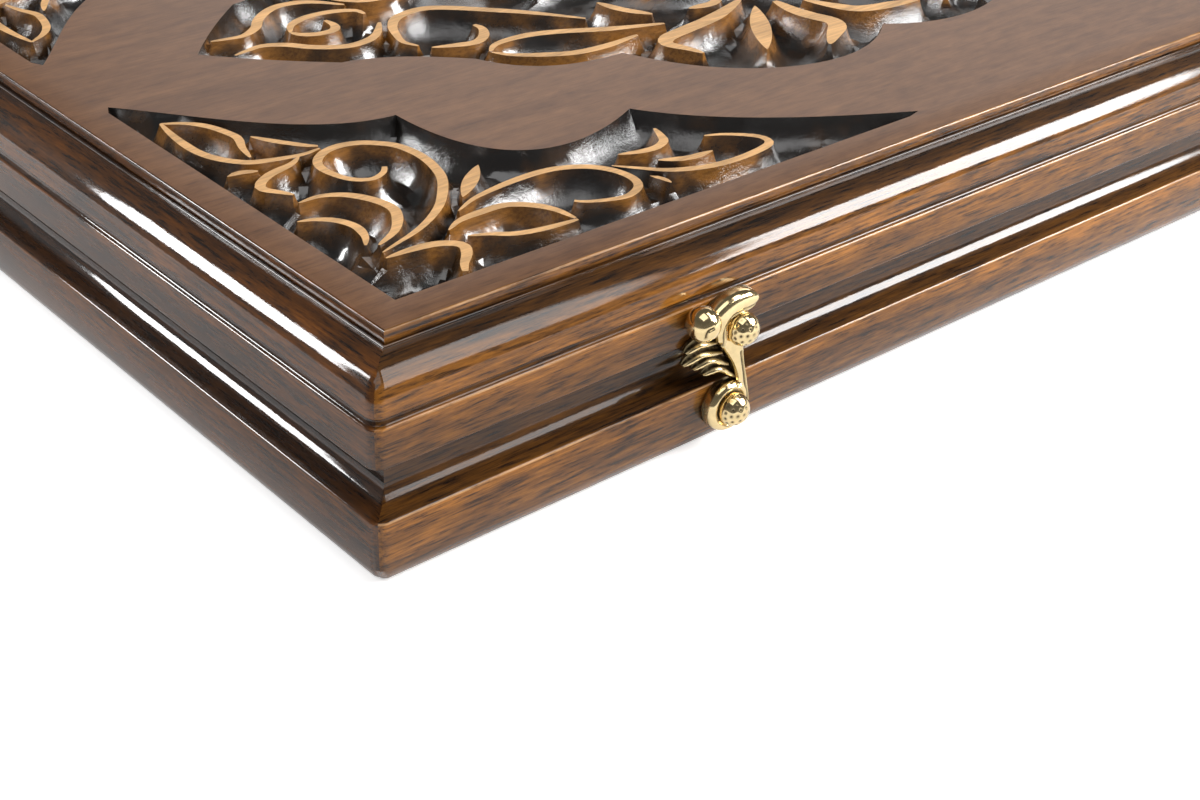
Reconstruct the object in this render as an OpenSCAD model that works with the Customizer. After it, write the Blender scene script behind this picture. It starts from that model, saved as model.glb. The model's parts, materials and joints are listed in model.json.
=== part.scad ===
// Folding backgammon case with a carved lid, moulded rims, two hook latches and stored pieces.
// X runs along the hinge side, the latches face -Y, and the case stands closed on Z = 0.

/* [Case] */
// Length of the closed case, along the hinge side
case_length = 600; // [540:10:700]
// Width of the closed case, from the latch side to the hinge side
case_width = 300; // [270:5:360]
// Height of each half of the case
half_height = 25; // [24:0.5:32]
// Gap between the two halves when closed
parting_gap = 0.3; // [0.2:0.05:0.5]
// Width of the rim, from the widest edge to the inside of the tray
rim_width = 20; // [18:0.5:26]
// Thickness of the carved board and of the bottom board
board_thickness = 11; // [9.5:0.5:12.5]
// Thickness of each playing field board
field_thickness = 3; // [2:0.5:4]
// Play between a field board and the rim around it
field_play = 0.2; // [0.1:0.05:0.5]

/* [Moulding] */
// Distance from the arris of the carved board out to the widest edge of the case
overhang = 10; // [9:0.5:12]
// Height that the carved board stands above the moulding
arris_step = 2.6; // [2:0.1:3.5]
// Flat beside the carved board before the ovolo starts
quirk_width = 1; // [0.5:0.1:1.5]
// Distance from the arris out to the fillet under the ovolo
fillet_out = 8.4; // [8:0.1:9]
// Depth below the lid's top at which the fillet starts
fillet_drop = 8.2; // [7:0.1:9.5]
// Height of the fillet
fillet_height = 4.7; // [3.5:0.1:5.5]
// Height of the chamfer under the fillet
lid_chamfer = 2.9; // [2:0.1:3.5]
// Distance from the arris out to the lid's lower face
lid_face_out = 7; // [6:0.1:7.5]
// Distance from the arris out to the neck of the base, at the parting line
neck_out = 3.8; // [3.5:0.1:5]
// Height of the base's widest face at its upper arris
base_face_top = 15.3; // [13:0.1:16]
// Height of the base's widest face at its lower edge
base_face_bottom = 6.6; // [5.5:0.1:8]
// Distance from the arris out to the edge that the base rests on
foot_out = 5.2; // [4:0.1:6]

/* [Carving] */
// Depth of the carved hollows
carving_depth = 7.5; // [5:0.5:8]
// Width of the flat border left around the carving
border_width = 8.7; // [7:0.1:10]

/* [Playing field] */
// Length of each point
point_length = 225; // [200:5:245]
// Part of a point's pitch that its base takes
point_fill = 0.94; // [0.8:0.02:1]
// Thickness of the inlaid points
inlay_thickness = 0.6; // [0.4:0.1:1]
// Play between an inlaid point and its recess
inlay_play = 0.05; // [0.02:0.01:0.1]

/* [Checkers and dice] */
// Diameter of a checker
checker_d = 34; // [28:1:38]
// Thickness of a checker
checker_h = 8; // [6:0.5:9]
// Width of the raised ring on a checker
checker_ring = 3; // [2:0.5:5]
// Depth of the dish inside the raised ring
checker_dish = 0.8; // [0.4:0.1:1.5]
// Gap between neighbouring checkers in a row
checker_gap = 0.6; // [0.3:0.1:1]
// Edge length of a die
die_edge = 10.5; // [9:0.5:14]
// Radius of a pip
pip_r = 1; // [0.7:0.1:1.1]

/* [Hinges] */
// Distance from the end of the case to the centre of a hinge
hinge_inset = 110; // [80:5:150]
// Length of a hinge along its pin
hinge_length = 40; // [32:1:50]
// Width of a leaf, from the pin's axis to its free edge
leaf_width = 14; // [12:0.5:16]
// Thickness of a leaf
leaf_thickness = 1; // [0.8:0.1:1.2]
// Radius of the hinge barrel
barrel_r = 2.4; // [2.2:0.1:2.8]
// Radius of the hinge pin
hinge_pin_r = 1; // [0.8:0.1:1.2]
// Radial play of the pin in its barrel
hinge_play = 0.05; // [0.03:0.01:0.08]
// Gap between neighbouring knuckles, and round the barrel
knuckle_gap = 0.3; // [0.3:0.05:0.4]
// Radius of a wood screw's shank
screw_r = 1.2; // [1:0.1:1.4]
// Radius of a wood screw's head
screw_head_r = 2.2; // [2:0.1:2.5]
// Length of a wood screw
screw_length = 9; // [7:0.5:10]

/* [Latches] */
// Distance from the end of the case to a latch's pivot
latch_inset = 89.3; // [70:0.5:120]
// Height of the pivot above the table
pivot_height = 9.9; // [9:0.1:11]
// Height of the catch pin above the parting line
catch_rise = 4.1; // [3.5:0.1:6]
// Sideways offset of the catch pin from the pivot
catch_shift = 1.2; // [0:0.1:2]
// Gap behind the hook
hook_gap = 0.3; // [0.3:0.05:0.5]
// Thickness of the hook's plate
hook_thickness = 2.6; // [2:0.1:3]
// Thickness of the round boss at the pivot
boss_thickness = 3; // [2.8:0.1:3.4]
// Radius of the round boss at the pivot
boss_r = 5.9; // [5:0.1:6.2]
// Radius of the ball that ends the scroll of the hook
ball_r = 3.3; // [2.8:0.1:3.6]
// Radius of a domed head
dome_r = 3.5; // [3:0.1:3.8]
// Distance from the back of a head to the centre of its dome
dome_rise = 1.2; // [0.6:0.1:1.6]
// Radius of the shanks of the pivot screw and the catch pin
shank_r = 1.7; // [1.4:0.1:1.9]
// Radial play of the pivot screw in the hook
pivot_play = 0.08; // [0.04:0.01:0.1]
// Gap between the hook's throat and the catch pin
throat_gap = 0.5; // [0.3:0.1:0.7]
// Gap between the boss and the head of the pivot screw
head_gap = 0.3; // [0.3:0.05:0.5]
// Depth that a catch pin reaches behind the widest edge of the case
catch_reach = 13; // [11:0.5:15]
// Wood left between the pivot screw's tip and the bottom board
tip_wood = 1.5; // [1:0.1:3]

/* [Hidden] */

case_height = 2*half_height;
base_top = half_height - parting_gap/2;
lid_bottom = half_height + parting_gap/2;
inner_in = rim_width - overhang;
board_top = board_thickness;
field_top = board_thickness + field_thickness;

// Depth in front of the case that the latches take, and behind it that the hinge barrels take
latch_depth = hook_gap + boss_thickness + head_gap + dome_rise + dome_r;
barrel_depth = parting_gap/2 + barrel_r;
front_y = -(case_width + latch_depth + barrel_depth)/2 + latch_depth;
back_y = front_y + case_width;
middle_y = (front_y + back_y)/2;

// Half sizes of the rectangle inside the arris of the carved board
arris_x = case_length/2 - overhang;
arris_y = case_width/2 - overhang;
inner_x = arris_x - inner_in;
inner_y = arris_y - inner_in;

hinge_x = case_length/2 - hinge_inset;
hinge_y = back_y + parting_gap/2;
hinge_z = half_height;
latch_x = case_length/2 - latch_inset;
catch_z = half_height + catch_rise;
hook_rise = catch_z - pivot_height;

walnut = [0.30, 0.17, 0.08];
walnut_top = [0.42, 0.27, 0.17];
beech = [0.78, 0.60, 0.38];
ebony = [0.12, 0.07, 0.05];
brass = [0.85, 0.70, 0.38];
ivory = [0.93, 0.89, 0.80];
eps = 0.01;

// Point on a cubic curve at t
function cubic(a, b, c, d, t) =
    a*pow(1 - t, 3) + 3*b*pow(1 - t, 2)*t + 3*c*(1 - t)*t*t + d*t*t*t;
// Points along a cubic curve, without its first point
function curve(a, b, c, d, n) = [for (i = [1:n]) cubic(a, b, c, d, i/n)];
// Points along a circular arc from p to q that bulges to the right by sag, without its first point
function arc(p, q, sag, n) =
    let (
        half = norm(q - p)/2,
        away = [(q - p)[1], -(q - p)[0]]/(2*half),
        r = (half*half + sag*sag)/(2*abs(sag)),
        centre = (p + q)/2 + away*(sag - sign(sag)*r),
        a0 = atan2((p - centre)[1], (p - centre)[0]),
        turn = sign(sag)*2*asin(min(1, half/r)),
        sweep = abs(sag) > half ? sign(sag)*360 - turn : turn
    )
    [for (i = [1:n]) centre + r*[cos(a0 + sweep*i/n), sin(a0 + sweep*i/n)]];
function mirror_x(path) = [for (p = path) [-p[0], p[1]]];
function mirror_y(path) = [for (p = path) [p[0], -p[1]]];
function reversed(path) = [for (i = [len(path) - 1:-1:0]) path[i]];

// The ovolo from the quirk out to a given distance, as distance out and height
function ovolo(out) =
    let (start = [quirk_width, case_height - arris_step], end = [out, case_height - fillet_drop])
    concat([[0, case_height - arris_step], start],
        curve(start,
            [quirk_width + 0.54*(out - quirk_width), start[1] - 0.36*(fillet_drop - arris_step)],
            [out, start[1] - 0.43*(fillet_drop - arris_step)], end, 8));

// Outer edge of the lid's moulding, from the carved board down to the parting line
fillet_end = case_height - fillet_drop - fillet_height;
function lid_side() = concat(ovolo(fillet_out),
    [[fillet_out, fillet_end], [lid_face_out, fillet_end - lid_chamfer],
    [lid_face_out, lid_bottom]]);
function lid_back() = concat(ovolo(overhang), [[overhang, lid_bottom]]);

// Outer edge of the base, from the edge that it rests on up to the parting line
function base_foot() = [[foot_out, 0],
    [overhang - 0.38*(overhang - foot_out), 0.36*base_face_bottom], [overhang, base_face_bottom]];
function base_side() =
    let (arris = [overhang, base_face_top], top = [neck_out, base_top], reach = top - arris)
    concat(base_foot(), [arris],
        curve(arris, arris + [0.71*reach[0], 0.18*reach[1]],
            arris + [0.82*reach[0], 0.54*reach[1]], top, 10));
function base_back() = concat(base_foot(), [[overhang, base_top]]);

// Section of a rail, with the ledge that its board is let into
function lid_section(edge) = concat(edge,
    [[-inner_in, lid_bottom], [-inner_in, case_height - board_thickness],
    [0, case_height - board_thickness]]);
function base_section(edge) = concat(edge,
    [[-inner_in, base_top], [-inner_in, board_top], [0, board_top], [0, 0]]);

// A straight rail along X that faces +Y, with its ends cut to the mitres of the frame
module mitred_rail(section, reach) {
    intersection() {
        rotate([90, 0, 90])
            linear_extrude(height = 2*(reach + overhang + 1), center = true) polygon(section);
        translate([0, 0, -1])
            linear_extrude(height = case_height + 2)
                polygon([[-reach - overhang, overhang], [reach + overhang, overhang],
                    [reach - inner_in, -inner_in], [-reach + inner_in, -inner_in]]);
    }
}

module front_rail(section) {
    translate([0, middle_y - arris_y, 0]) rotate(180) mitred_rail(section, arris_x);
}

module end_rail(section, side) {
    translate([side*arris_x, middle_y, 0]) rotate(-90*side) mitred_rail(section, arris_y);
}

// The back rail is flush for the hinges, and its ends follow the moulding of the end rails
module back_rail(section, end_edge) {
    outline = [for (p = end_edge) [arris_x + p[0], p[1]]];
    low = min([for (p = outline) p[1]]);
    high = max([for (p = outline) p[1]]);
    intersection() {
        translate([0, middle_y + arris_y, 0]) mitred_rail(section, arris_x);
        translate([0, back_y + 1, 0])
            rotate([90, 0, 0])
                linear_extrude(height = rim_width + 2)
                    polygon(concat(outline, reversed(mirror_x(outline))));
    }
}

// Rows of the hinges: -1 on the left, 1 on the right
module each_hinge() {
    for (side = [-1, 1]) translate([side*hinge_x, hinge_y, hinge_z]) children();
}

module along_x(r, length) {
    rotate([0, 90, 0]) cylinder(r = r, h = length, center = true, $fn = 48);
}

leaf_inner = leaf_width - parting_gap/2;
screw_x = hinge_length/2 - 8;
screw_y = -(leaf_width + barrel_r)/2 - 0.5;

// Room in a rim for one leaf, its screws and the barrel; up is 1 in the lid and -1 in the base
module hinge_recess(up) {
    leaf_face = up*parting_gap/2;
    translate([0, -leaf_width/2, leaf_face + up*leaf_thickness/2])
        cube([hinge_length, leaf_width, leaf_thickness], center = true);
    translate([0, -leaf_width/2, 0])
        cube([hinge_length, leaf_width, 2*parting_gap], center = true);
    along_x(barrel_r + knuckle_gap, hinge_length + 2*knuckle_gap);
    for (side = [-1, 1])
        translate([side*screw_x, screw_y, leaf_face])
            rotate([up > 0 ? 0 : 180, 0, 0]) cylinder(r = screw_r + 0.03, h = screw_length, $fn = 32);
}

module base_front_rail() {
    color(walnut) difference() {
        front_rail(base_section(base_side()));
        for (side = [-1, 1])
            translate([side*latch_x, front_y, pivot_height]) shank_hole(pivot_reach);
    }
}

module base_back_rail() {
    color(walnut) difference() {
        back_rail(base_section(base_back()), base_side());
        each_hinge() hinge_recess(-1);
    }
}

module base_left_rail() {
    color(walnut) end_rail(base_section(base_side()), -1);
}

module base_right_rail() {
    color(walnut) end_rail(base_section(base_side()), 1);
}

module lid_front_rail() {
    color(walnut) difference() {
        front_rail(lid_section(lid_side()));
        for (side = [-1, 1])
            translate([side*latch_x + catch_shift, front_y, catch_z]) shank_hole(catch_reach);
    }
}

module lid_back_rail() {
    color(walnut) difference() {
        back_rail(lid_section(lid_back()), lid_side());
        each_hinge() hinge_recess(1);
    }
}

module lid_left_rail() {
    color(walnut) end_rail(lid_section(lid_side()), -1);
}

module lid_right_rail() {
    color(walnut) end_rail(lid_section(lid_side()), 1);
}

module board(low, high, reach_x, reach_y) {
    translate([-reach_x, middle_y - reach_y, low]) cube([2*reach_x, 2*reach_y, high - low]);
}

module base_bottom_board() {
    color(walnut) board(0, board_top, arris_x, arris_y);
}

// The carving was drawn on a board of this size, and stretches with the board
drawn_board = [580, 280];
stretch = [2*arris_x/drawn_board[0], 2*arris_y/drawn_board[1]];

// Edge of a corner hollow, measured from the arris corner of the board
corner_tail_y = 124;
corner_cusps = [[60, 81], [105.3, 51.5]];
corner_tail_x = 158.5;
function corner_hollow() =
    let (
        start = [border_width + 1.5, corner_tail_y],
        end = [corner_tail_x, border_width + 1]
    )
    concat([[border_width, border_width], [border_width, corner_tail_y - 3], start],
        curve(start, [24, 108], [38, 82], corner_cusps[0], 8),
        curve(corner_cusps[0], [59.5, 54], [70, 34], corner_cusps[1], 10),
        curve(corner_cusps[1], [114, 37], [130, 24], end, 8),
        [[corner_tail_x - 4, border_width]]);

// A quarter of the medallion's edge, from its end tip to its middle, measured from its centre
function medallion_quarter() =
    let (
        tip = [-247, 0],
        c1 = [-222, -25],
        c2 = [-194.5, -42.5],
        c3 = [-163, -61],
        c4 = [-139, -91],
        c5 = [-95.5, -86],
        c6 = [-48, -86],
        middle = [0, -101]
    )
    concat([tip],
        curve(tip, [-238, -11], [-228, -20], c1, 5),
        curve(c1, [-210, -27], [-202, -35], c2, 5),
        curve(c2, [-190, -54], [-182, -61], c3, 6),
        curve(c3, [-158, -74], [-152, -84], c4, 6),
        curve(c4, [-126, -98], [-110, -98], c5, 8),
        curve(c5, [-82, -97], [-62, -96], c6, 6),
        curve(c6, [-34, -92], [-18, -101], middle, 6));

function medallion() =
    let (low = medallion_quarter(), half = concat(low, mirror_x([for (i = [len(low) - 2:-1:0]) low[i]])))
    concat(half, mirror_y([for (i = [len(half) - 2:-1:1]) half[i]]));

// Middle lines of the main scrolls left standing in a corner hollow, from the arris corner, and of
// those in the medallion, from the same corner to the board's centre
corner_scrolls = [
    [[18, 26], [30, 30.5], [43.5, 41], [50.5, 53.5], [50.5, 66.5], [44.5, 73], [35.5, 73.5],
        [30.5, 66.5], [33, 58], [40, 57]],
    [[15, 108.5], [13.5, 96.5], [15.5, 84.5], [23.5, 77.5], [36, 76]],
    [[14.3, 103], [22.5, 99.5], [24.5, 91], [19.5, 80]],
    [[30, 75], [20, 71], [15, 65.5], [18.5, 59.5]],
    [[17, 55.5], [27.5, 52.5], [31.5, 42], [25.5, 32.5], [19.5, 29.5]],
    [[12.5, 48], [19, 43.5], [19.5, 34.5], [17.5, 31]],
    [[17.5, 24], [28, 23], [32.5, 18.5], [26.5, 10]],
    [[41.5, 32.5], [54.5, 36.5], [70, 36.5], [80, 28], [79, 18.5], [70, 17.5], [63.5, 21.5]],
    [[34.5, 26.5], [45.5, 29], [55, 25.5], [58.5, 15]],
    [[36, 22], [44.5, 17], [58.5, 14.5]],
    [[81.5, 30], [90, 20.5], [103, 16], [117, 17.5], [108.5, 29.5]],
    [[86.5, 33.5], [95.5, 31.5], [102.5, 39.5]],
    [[46, 37], [52, 42.5], [58.5, 48]]];
medallion_scrolls = [
    [[50, 134.5], [63.5, 133], [71.5, 125], [82, 123.5], [91, 132]],
    [[91.5, 110], [102, 106.5], [109.5, 116.5]],
    [[89.5, 113], [89.5, 122], [102, 133.5], [119.5, 122], [135, 103]],
    [[101.5, 99.5], [110.5, 103], [124.5, 99.5], [149, 88]],
    [[101.5, 98.5], [113.5, 88], [138, 86]],
    [[143, 67], [140, 77], [160, 83], [177, 89]],
    [[157.5, 59], [167, 71.5], [177, 83.5]],
    [[173, 52.5], [185.5, 64], [184, 83]],
    [[191, 79], [201.5, 64], [216, 61]],
    [[160, 118], [192, 108], [216, 124], [203, 134], [198, 128]],
    [[225, 128], [250, 104], [254, 76], [236, 68], [238, 86]],
    [[196, 98], [208, 92], [222, 92], [234, 98], [220, 104], [206, 104]],
    [[262, 120], [274, 94], [291, 84]],
    [[264.5, 113], [274, 111], [291, 101]],
    [[286, 80], [268, 62], [266, 53]],
    [[140, 130], [166, 131], [190, 122]]];
scroll_width = 4;

// Points through the given ones, with one more between each two, on a smooth curve
function smooth(points) =
    let (
        last = len(points) - 1,
        before = 2*points[0] - points[1],
        after = 2*points[last] - points[last - 1]
    )
    [for (i = [0:last]) each i == last ? [points[i]] :
        [points[i], (9*(points[i] + points[i + 1]) - (i > 0 ? points[i - 1] : before)
            - (i + 2 <= last ? points[i + 2] : after))/16]];

// A scroll of even width with pointed ends, along its middle line
module scroll(points) {
    path = smooth(points);
    last = len(path) - 1;
    sides = [for (i = [1:last - 1])
        let (along = path[i + 1] - path[i - 1])
        scroll_width/2*[-along[1], along[0]]/norm(along)];
    polygon(concat([path[0]], [for (i = [1:last - 1]) path[i] + sides[i - 1]], [path[last]],
        [for (i = [last - 1:-1:1]) path[i] - sides[i - 1]]));
}

// One quarter's drawing, from the arris corner, in all four quarters of the board
module each_quarter() {
    for (sx = [-1, 1], sy = [-1, 1])
        scale([sx*stretch[0], sy*stretch[1]]) translate(-drawn_board/2) children();
}

module lid_carved_board() {
    color(walnut_top) difference() {
        board(case_height - board_thickness, case_height, arris_x, arris_y);
        translate([0, middle_y, case_height - carving_depth])
            linear_extrude(height = carving_depth + 1)
                difference() {
                    union() {
                        each_quarter() polygon(corner_hollow());
                        scale(stretch) polygon(medallion());
                    }
                    each_quarter()
                        for (points = concat(corner_scrolls, medallion_scrolls)) scroll(points);
                }
    }
}

// One point, base at the end of the field; row counts from the latch side, end is -1 or 1
point_pitch = 2*inner_y/6;
module point(end, row, play, height) {
    half = point_fill*point_pitch/2 + play;
    start = inner_x - field_play - inlay_play + play;
    translate([0, middle_y - inner_y + (row + 0.5)*point_pitch, 0])
        linear_extrude(height = height)
            polygon([[end*start, -half + field_play], [end*start, half - field_play],
                [end*(inner_x - point_length - 2*play), 0]]);
}

// The six points of one colour: the two ends of the field alternate
module colour_points(dark, play, height) {
    for (end = [-1, 1], row = [0:5])
        if (((row + (end > 0 ? 1 : 0)) % 2 == 0) == dark) point(end, row, play, height);
}

// A field board with recesses for its points, lying with its face up at Z = 0
module field_board() {
    color(walnut_top) difference() {
        board(-field_thickness, 0, inner_x - field_play, inner_y - field_play);
        for (dark = [true, false])
            translate([0, 0, -inlay_thickness]) colour_points(dark, inlay_play, inlay_thickness + 1);
    }
}

module inlay(dark) {
    color(dark ? ebony : beech)
        translate([0, 0, -inlay_thickness]) colour_points(dark, 0, inlay_thickness);
}

module in_base() {
    translate([0, 0, field_top]) children();
}

module in_lid() {
    translate([0, 0, case_height - field_top]) mirror([0, 0, 1]) children();
}

module base_field_board() { in_base() field_board(); }
module base_dark_points() { in_base() inlay(true); }
module base_light_points() { in_base() inlay(false); }
module lid_field_board() { in_lid() field_board(); }
module lid_dark_points() { in_lid() inlay(true); }
module lid_light_points() { in_lid() inlay(false); }

// A leaf with the knuckles that it owns; up is 1 for the lid's leaf and -1 for the base's
knuckle = hinge_length/3;
module hinge_leaf(side, up) {
    own = up > 0 ? [0] : [-1, 1];
    other = up > 0 ? [-1, 1] : [0];
    color(brass) translate([side*hinge_x, hinge_y, hinge_z]) difference() {
        union() {
            translate([-hinge_length/2, -leaf_inner, up > 0 ? parting_gap/2 : -parting_gap/2 - leaf_thickness])
                cube([hinge_length, leaf_inner - parting_gap, leaf_thickness]);
            for (k = own)
                translate([k*knuckle, 0, 0])
                    along_x(barrel_r, knuckle - (len(own) == 1 ? knuckle_gap : 0));
        }
        for (k = other)
            translate([k*knuckle, 0, 0]) along_x(barrel_r + knuckle_gap, knuckle + knuckle_gap);
        along_x(hinge_pin_r + hinge_play, hinge_length + 2);
        for (sx = [-1, 1])
            translate([sx*screw_x, screw_y, up*parting_gap/2]) rotate([up > 0 ? 0 : 180, 0, 0]) {
                translate([0, 0, -eps])
                    cylinder(r1 = screw_head_r + 0.05, r2 = screw_r + 0.05,
                        h = leaf_thickness + eps, $fn = 32);
                cylinder(r = screw_r + 0.05, h = leaf_thickness + 1, $fn = 32);
            }
    }
}

module hinge_pin(side) {
    color(brass) translate([side*hinge_x, hinge_y, hinge_z])
        along_x(hinge_pin_r, hinge_length);
}

module left_hinge_base_leaf() { hinge_leaf(-1, -1); }
module left_hinge_lid_leaf() { hinge_leaf(-1, 1); }
module left_hinge_pin() { hinge_pin(-1); }
module right_hinge_base_leaf() { hinge_leaf(1, -1); }
module right_hinge_lid_leaf() { hinge_leaf(1, 1); }
module right_hinge_pin() { hinge_pin(1); }

// Countersunk screws of both hinges on one side of the parting line
module hinge_screws(up) {
    color(brass) each_hinge()
        for (sx = [-1, 1])
            translate([sx*screw_x, screw_y, up*parting_gap/2]) rotate([up > 0 ? 0 : 180, 0, 0])
                difference() {
                    union() {
                        cylinder(r1 = screw_head_r, r2 = screw_r, h = leaf_thickness, $fn = 32);
                        cylinder(r = screw_r, h = screw_length - 0.2, $fn = 32);
                    }
                    translate([-screw_head_r, -0.2, -1]) cube([2*screw_head_r, 0.4, 1.4]);
                }
}

module hinge_base_screws() { hinge_screws(-1); }
module hinge_lid_screws() { hinge_screws(1); }

// Planes of the latch, measured out from the widest edge of the case
hook_back = hook_gap;
dome_back = hook_back + boss_thickness + head_gap;
pivot_reach = overhang - tip_wood;

module facing_front() {
    rotate([90, 0, 0]) children();
}

// Hole for a shank, from outside the case into the rail behind
module shank_hole(reach) {
    facing_front() translate([0, 0, -reach])
        cylinder(r = shank_r + 0.03, h = reach + overhang, $fn = 40);
}

// A domed head on a shank that is driven into the rail
module domed_pin(reach) {
    color(brass) facing_front() {
        translate([0, 0, 0.5 - reach]) cylinder(r = shank_r, h = reach - 0.5 + dome_back + eps, $fn = 40);
        translate([0, 0, dome_back]) intersection() {
            translate([0, 0, dome_rise]) sphere(r = dome_r, $fn = 48);
            translate([0, 0, dome_r]) cube([3*dome_r, 3*dome_r, 2*dome_r], center = true);
        }
    }
}

// Plate of the hook in its own plane: pivot at the origin, catch pin above it
catch = [catch_shift, hook_rise];
throat_r = shank_r + throat_gap;
hook_plate =
    let (
        lip = catch + throat_r*[cos(-75), sin(-75)],
        top = catch + throat_r*[cos(95), sin(95)],
        right = [boss_r - 0.1, 0.4],
        neck = catch + [2.3, -6],
        horn_tip = catch + [5.6, 6.9],
        horn_back = catch + [-7.4, 7.2],
        shoulder = catch + [-6.1, -1.8],
        left = [2.2, boss_r - 1]
    )
    concat([right],
        curve(right, right + [0, 4], neck - [-0.2, 4], neck, 6),
        [lip + [1.6, -0.4]],
        [for (a = [-75:-17:-265]) catch + throat_r*[cos(a), sin(a)]],
        curve(top, catch + [2.2, 3.4], catch + [5.2, 4.4], horn_tip, 5),
        curve(horn_tip, catch + [5, 10], catch + [-2.7, 11.2], horn_back, 9),
        curve(horn_back, catch + [-8.6, 4.4], catch + [-6.8, 1.4], shoulder, 5),
        curve(shoulder, catch + [-3.9, -4.4], left + [-0.6, 5.3], left, 6),
        [[-2.4, 2]]);

// Curled leaves on the hook's back: root and tip of each from the catch pin, and how far it arches
leaves = [[[-5, -2.2], [-13.4, -3], 0.5], [[-4.4, -4], [-14.3, -5], 0.6],
    [[-2, -6.2], [-11.5, -5.7], 0.9], [[0.2, -9.2], [-8.6, -8.6], 1.6]];
leaf_half = 0.65;

module curled_leaf(root, tip, arch) {
    up = [0, arch];
    side = [0, leaf_half];
    linear_extrude(height = hook_thickness - 0.4)
        polygon(concat([root + side],
            curve(root + side, root + side + up + [-3, 0], tip + side + up + [3, 0], tip + side, 5),
            [tip + [-leaf_half, 0]],
            [tip - side],
            curve(tip - side, tip - side + up + [3, 0], root - side + up + [-3, 0], root - side, 5)));
}

module hook(side) {
    color(brass) translate([side*latch_x, front_y - hook_back, pivot_height]) facing_front()
        difference() {
            union() {
                cylinder(r = boss_r, h = boss_thickness, $fn = 64);
                linear_extrude(height = hook_thickness) polygon(hook_plate);
                translate([catch[0] - 10.3, catch[1] + 4.1, 0]) intersection() {
                    translate([0, 0, 0.8*ball_r]) sphere(r = ball_r, $fn = 48);
                    translate([0, 0, ball_r]) cube([3*ball_r, 3*ball_r, 2*ball_r], center = true);
                }
                for (leaf = leaves) curled_leaf(catch + leaf[0], catch + leaf[1], leaf[2]);
            }
            translate([0, 0, -1]) cylinder(r = shank_r + pivot_play, h = boss_thickness + 2, $fn = 40);
        }
}

module left_hook() { hook(-1); }
module right_hook() { hook(1); }

module left_hook_screw() {
    translate([-latch_x, front_y, pivot_height]) domed_pin(pivot_reach);
}

module right_hook_screw() {
    translate([latch_x, front_y, pivot_height]) domed_pin(pivot_reach);
}

module catch_pins() {
    for (side = [-1, 1])
        translate([side*latch_x + catch_shift, front_y, catch_z]) domed_pin(catch_reach);
}

module checker() {
    r = checker_d/2;
    rotate_extrude($fn = 72)
        polygon([[0, 0.8], [r - 1, 0.8], [r - 1, 0], [r - 0.6, 0], [r, 0.6], [r, checker_h - 0.6],
            [r - 0.6, checker_h], [r - checker_ring, checker_h],
            [r - checker_ring - 1, checker_h - checker_dish], [0, checker_h - checker_dish]]);
}

// Fifteen checkers stored in three rows of five at one end of the base
module checkers(end) {
    for (row = [0:2], k = [0:4])
        translate([end*(inner_x - 1 - checker_d/2 - k*(checker_d + checker_gap)),
            middle_y - inner_y + (2*row + (end > 0 ? 1.5 : 0.5))*point_pitch, field_top]) checker();
}

module dark_checkers() { color(ebony) checkers(-1); }
module light_checkers() { color(beech) checkers(1); }

// Places of the pips on each face of a die, in thirds of its edge
pip_places = [
    [[0, 0]],
    [[-1, -1], [1, 1]],
    [[-1, -1], [0, 0], [1, 1]],
    [[-1, -1], [-1, 1], [1, -1], [1, 1]],
    [[-1, -1], [-1, 1], [1, -1], [1, 1], [0, 0]],
    [[-1, -1], [-1, 0], [-1, 1], [1, -1], [1, 0], [1, 1]]];
// Turns that bring each numbered face to the top
face_turns = [[0, 0, 0], [90, 0, 0], [0, 90, 0], [0, -90, 0], [-90, 0, 0], [180, 0, 0]];

module die() {
    translate([0, 0, die_edge/2]) difference() {
        intersection() {
            cube(die_edge, center = true);
            sphere(r = 0.74*die_edge, $fn = 64);
        }
        for (face = [0:5], spot = pip_places[face])
            rotate(face_turns[face])
                translate([spot[0]*die_edge*0.26, spot[1]*die_edge*0.26, die_edge/2 + 0.55*pip_r])
                    sphere(r = pip_r, $fn = 24);
    }
}

module dice() {
    color(ivory) {
        translate([-11, middle_y - 7, field_top]) rotate(24) die();
        translate([9, middle_y + 6, field_top]) rotate(-37) die();
    }
}

base_front_rail();
base_back_rail();
base_left_rail();
base_right_rail();
base_bottom_board();
base_field_board();
base_dark_points();
base_light_points();
lid_front_rail();
lid_back_rail();
lid_left_rail();
lid_right_rail();
lid_carved_board();
lid_field_board();
lid_dark_points();
lid_light_points();
left_hinge_base_leaf();
left_hinge_lid_leaf();
left_hinge_pin();
right_hinge_base_leaf();
right_hinge_lid_leaf();
right_hinge_pin();
hinge_base_screws();
hinge_lid_screws();
left_hook();
right_hook();
left_hook_screw();
right_hook_screw();
catch_pins();
dark_checkers();
light_checkers();
dice();
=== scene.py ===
"""Folding backgammon case with a carved lid: finished pieces, stage, lights and camera."""

import json
import math

import bpy
import numpy as np
from mathutils import Matrix, Vector
from mathutils.geometry import delaunay_2d_cdt
from mathutils.kdtree import KDTree

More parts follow.
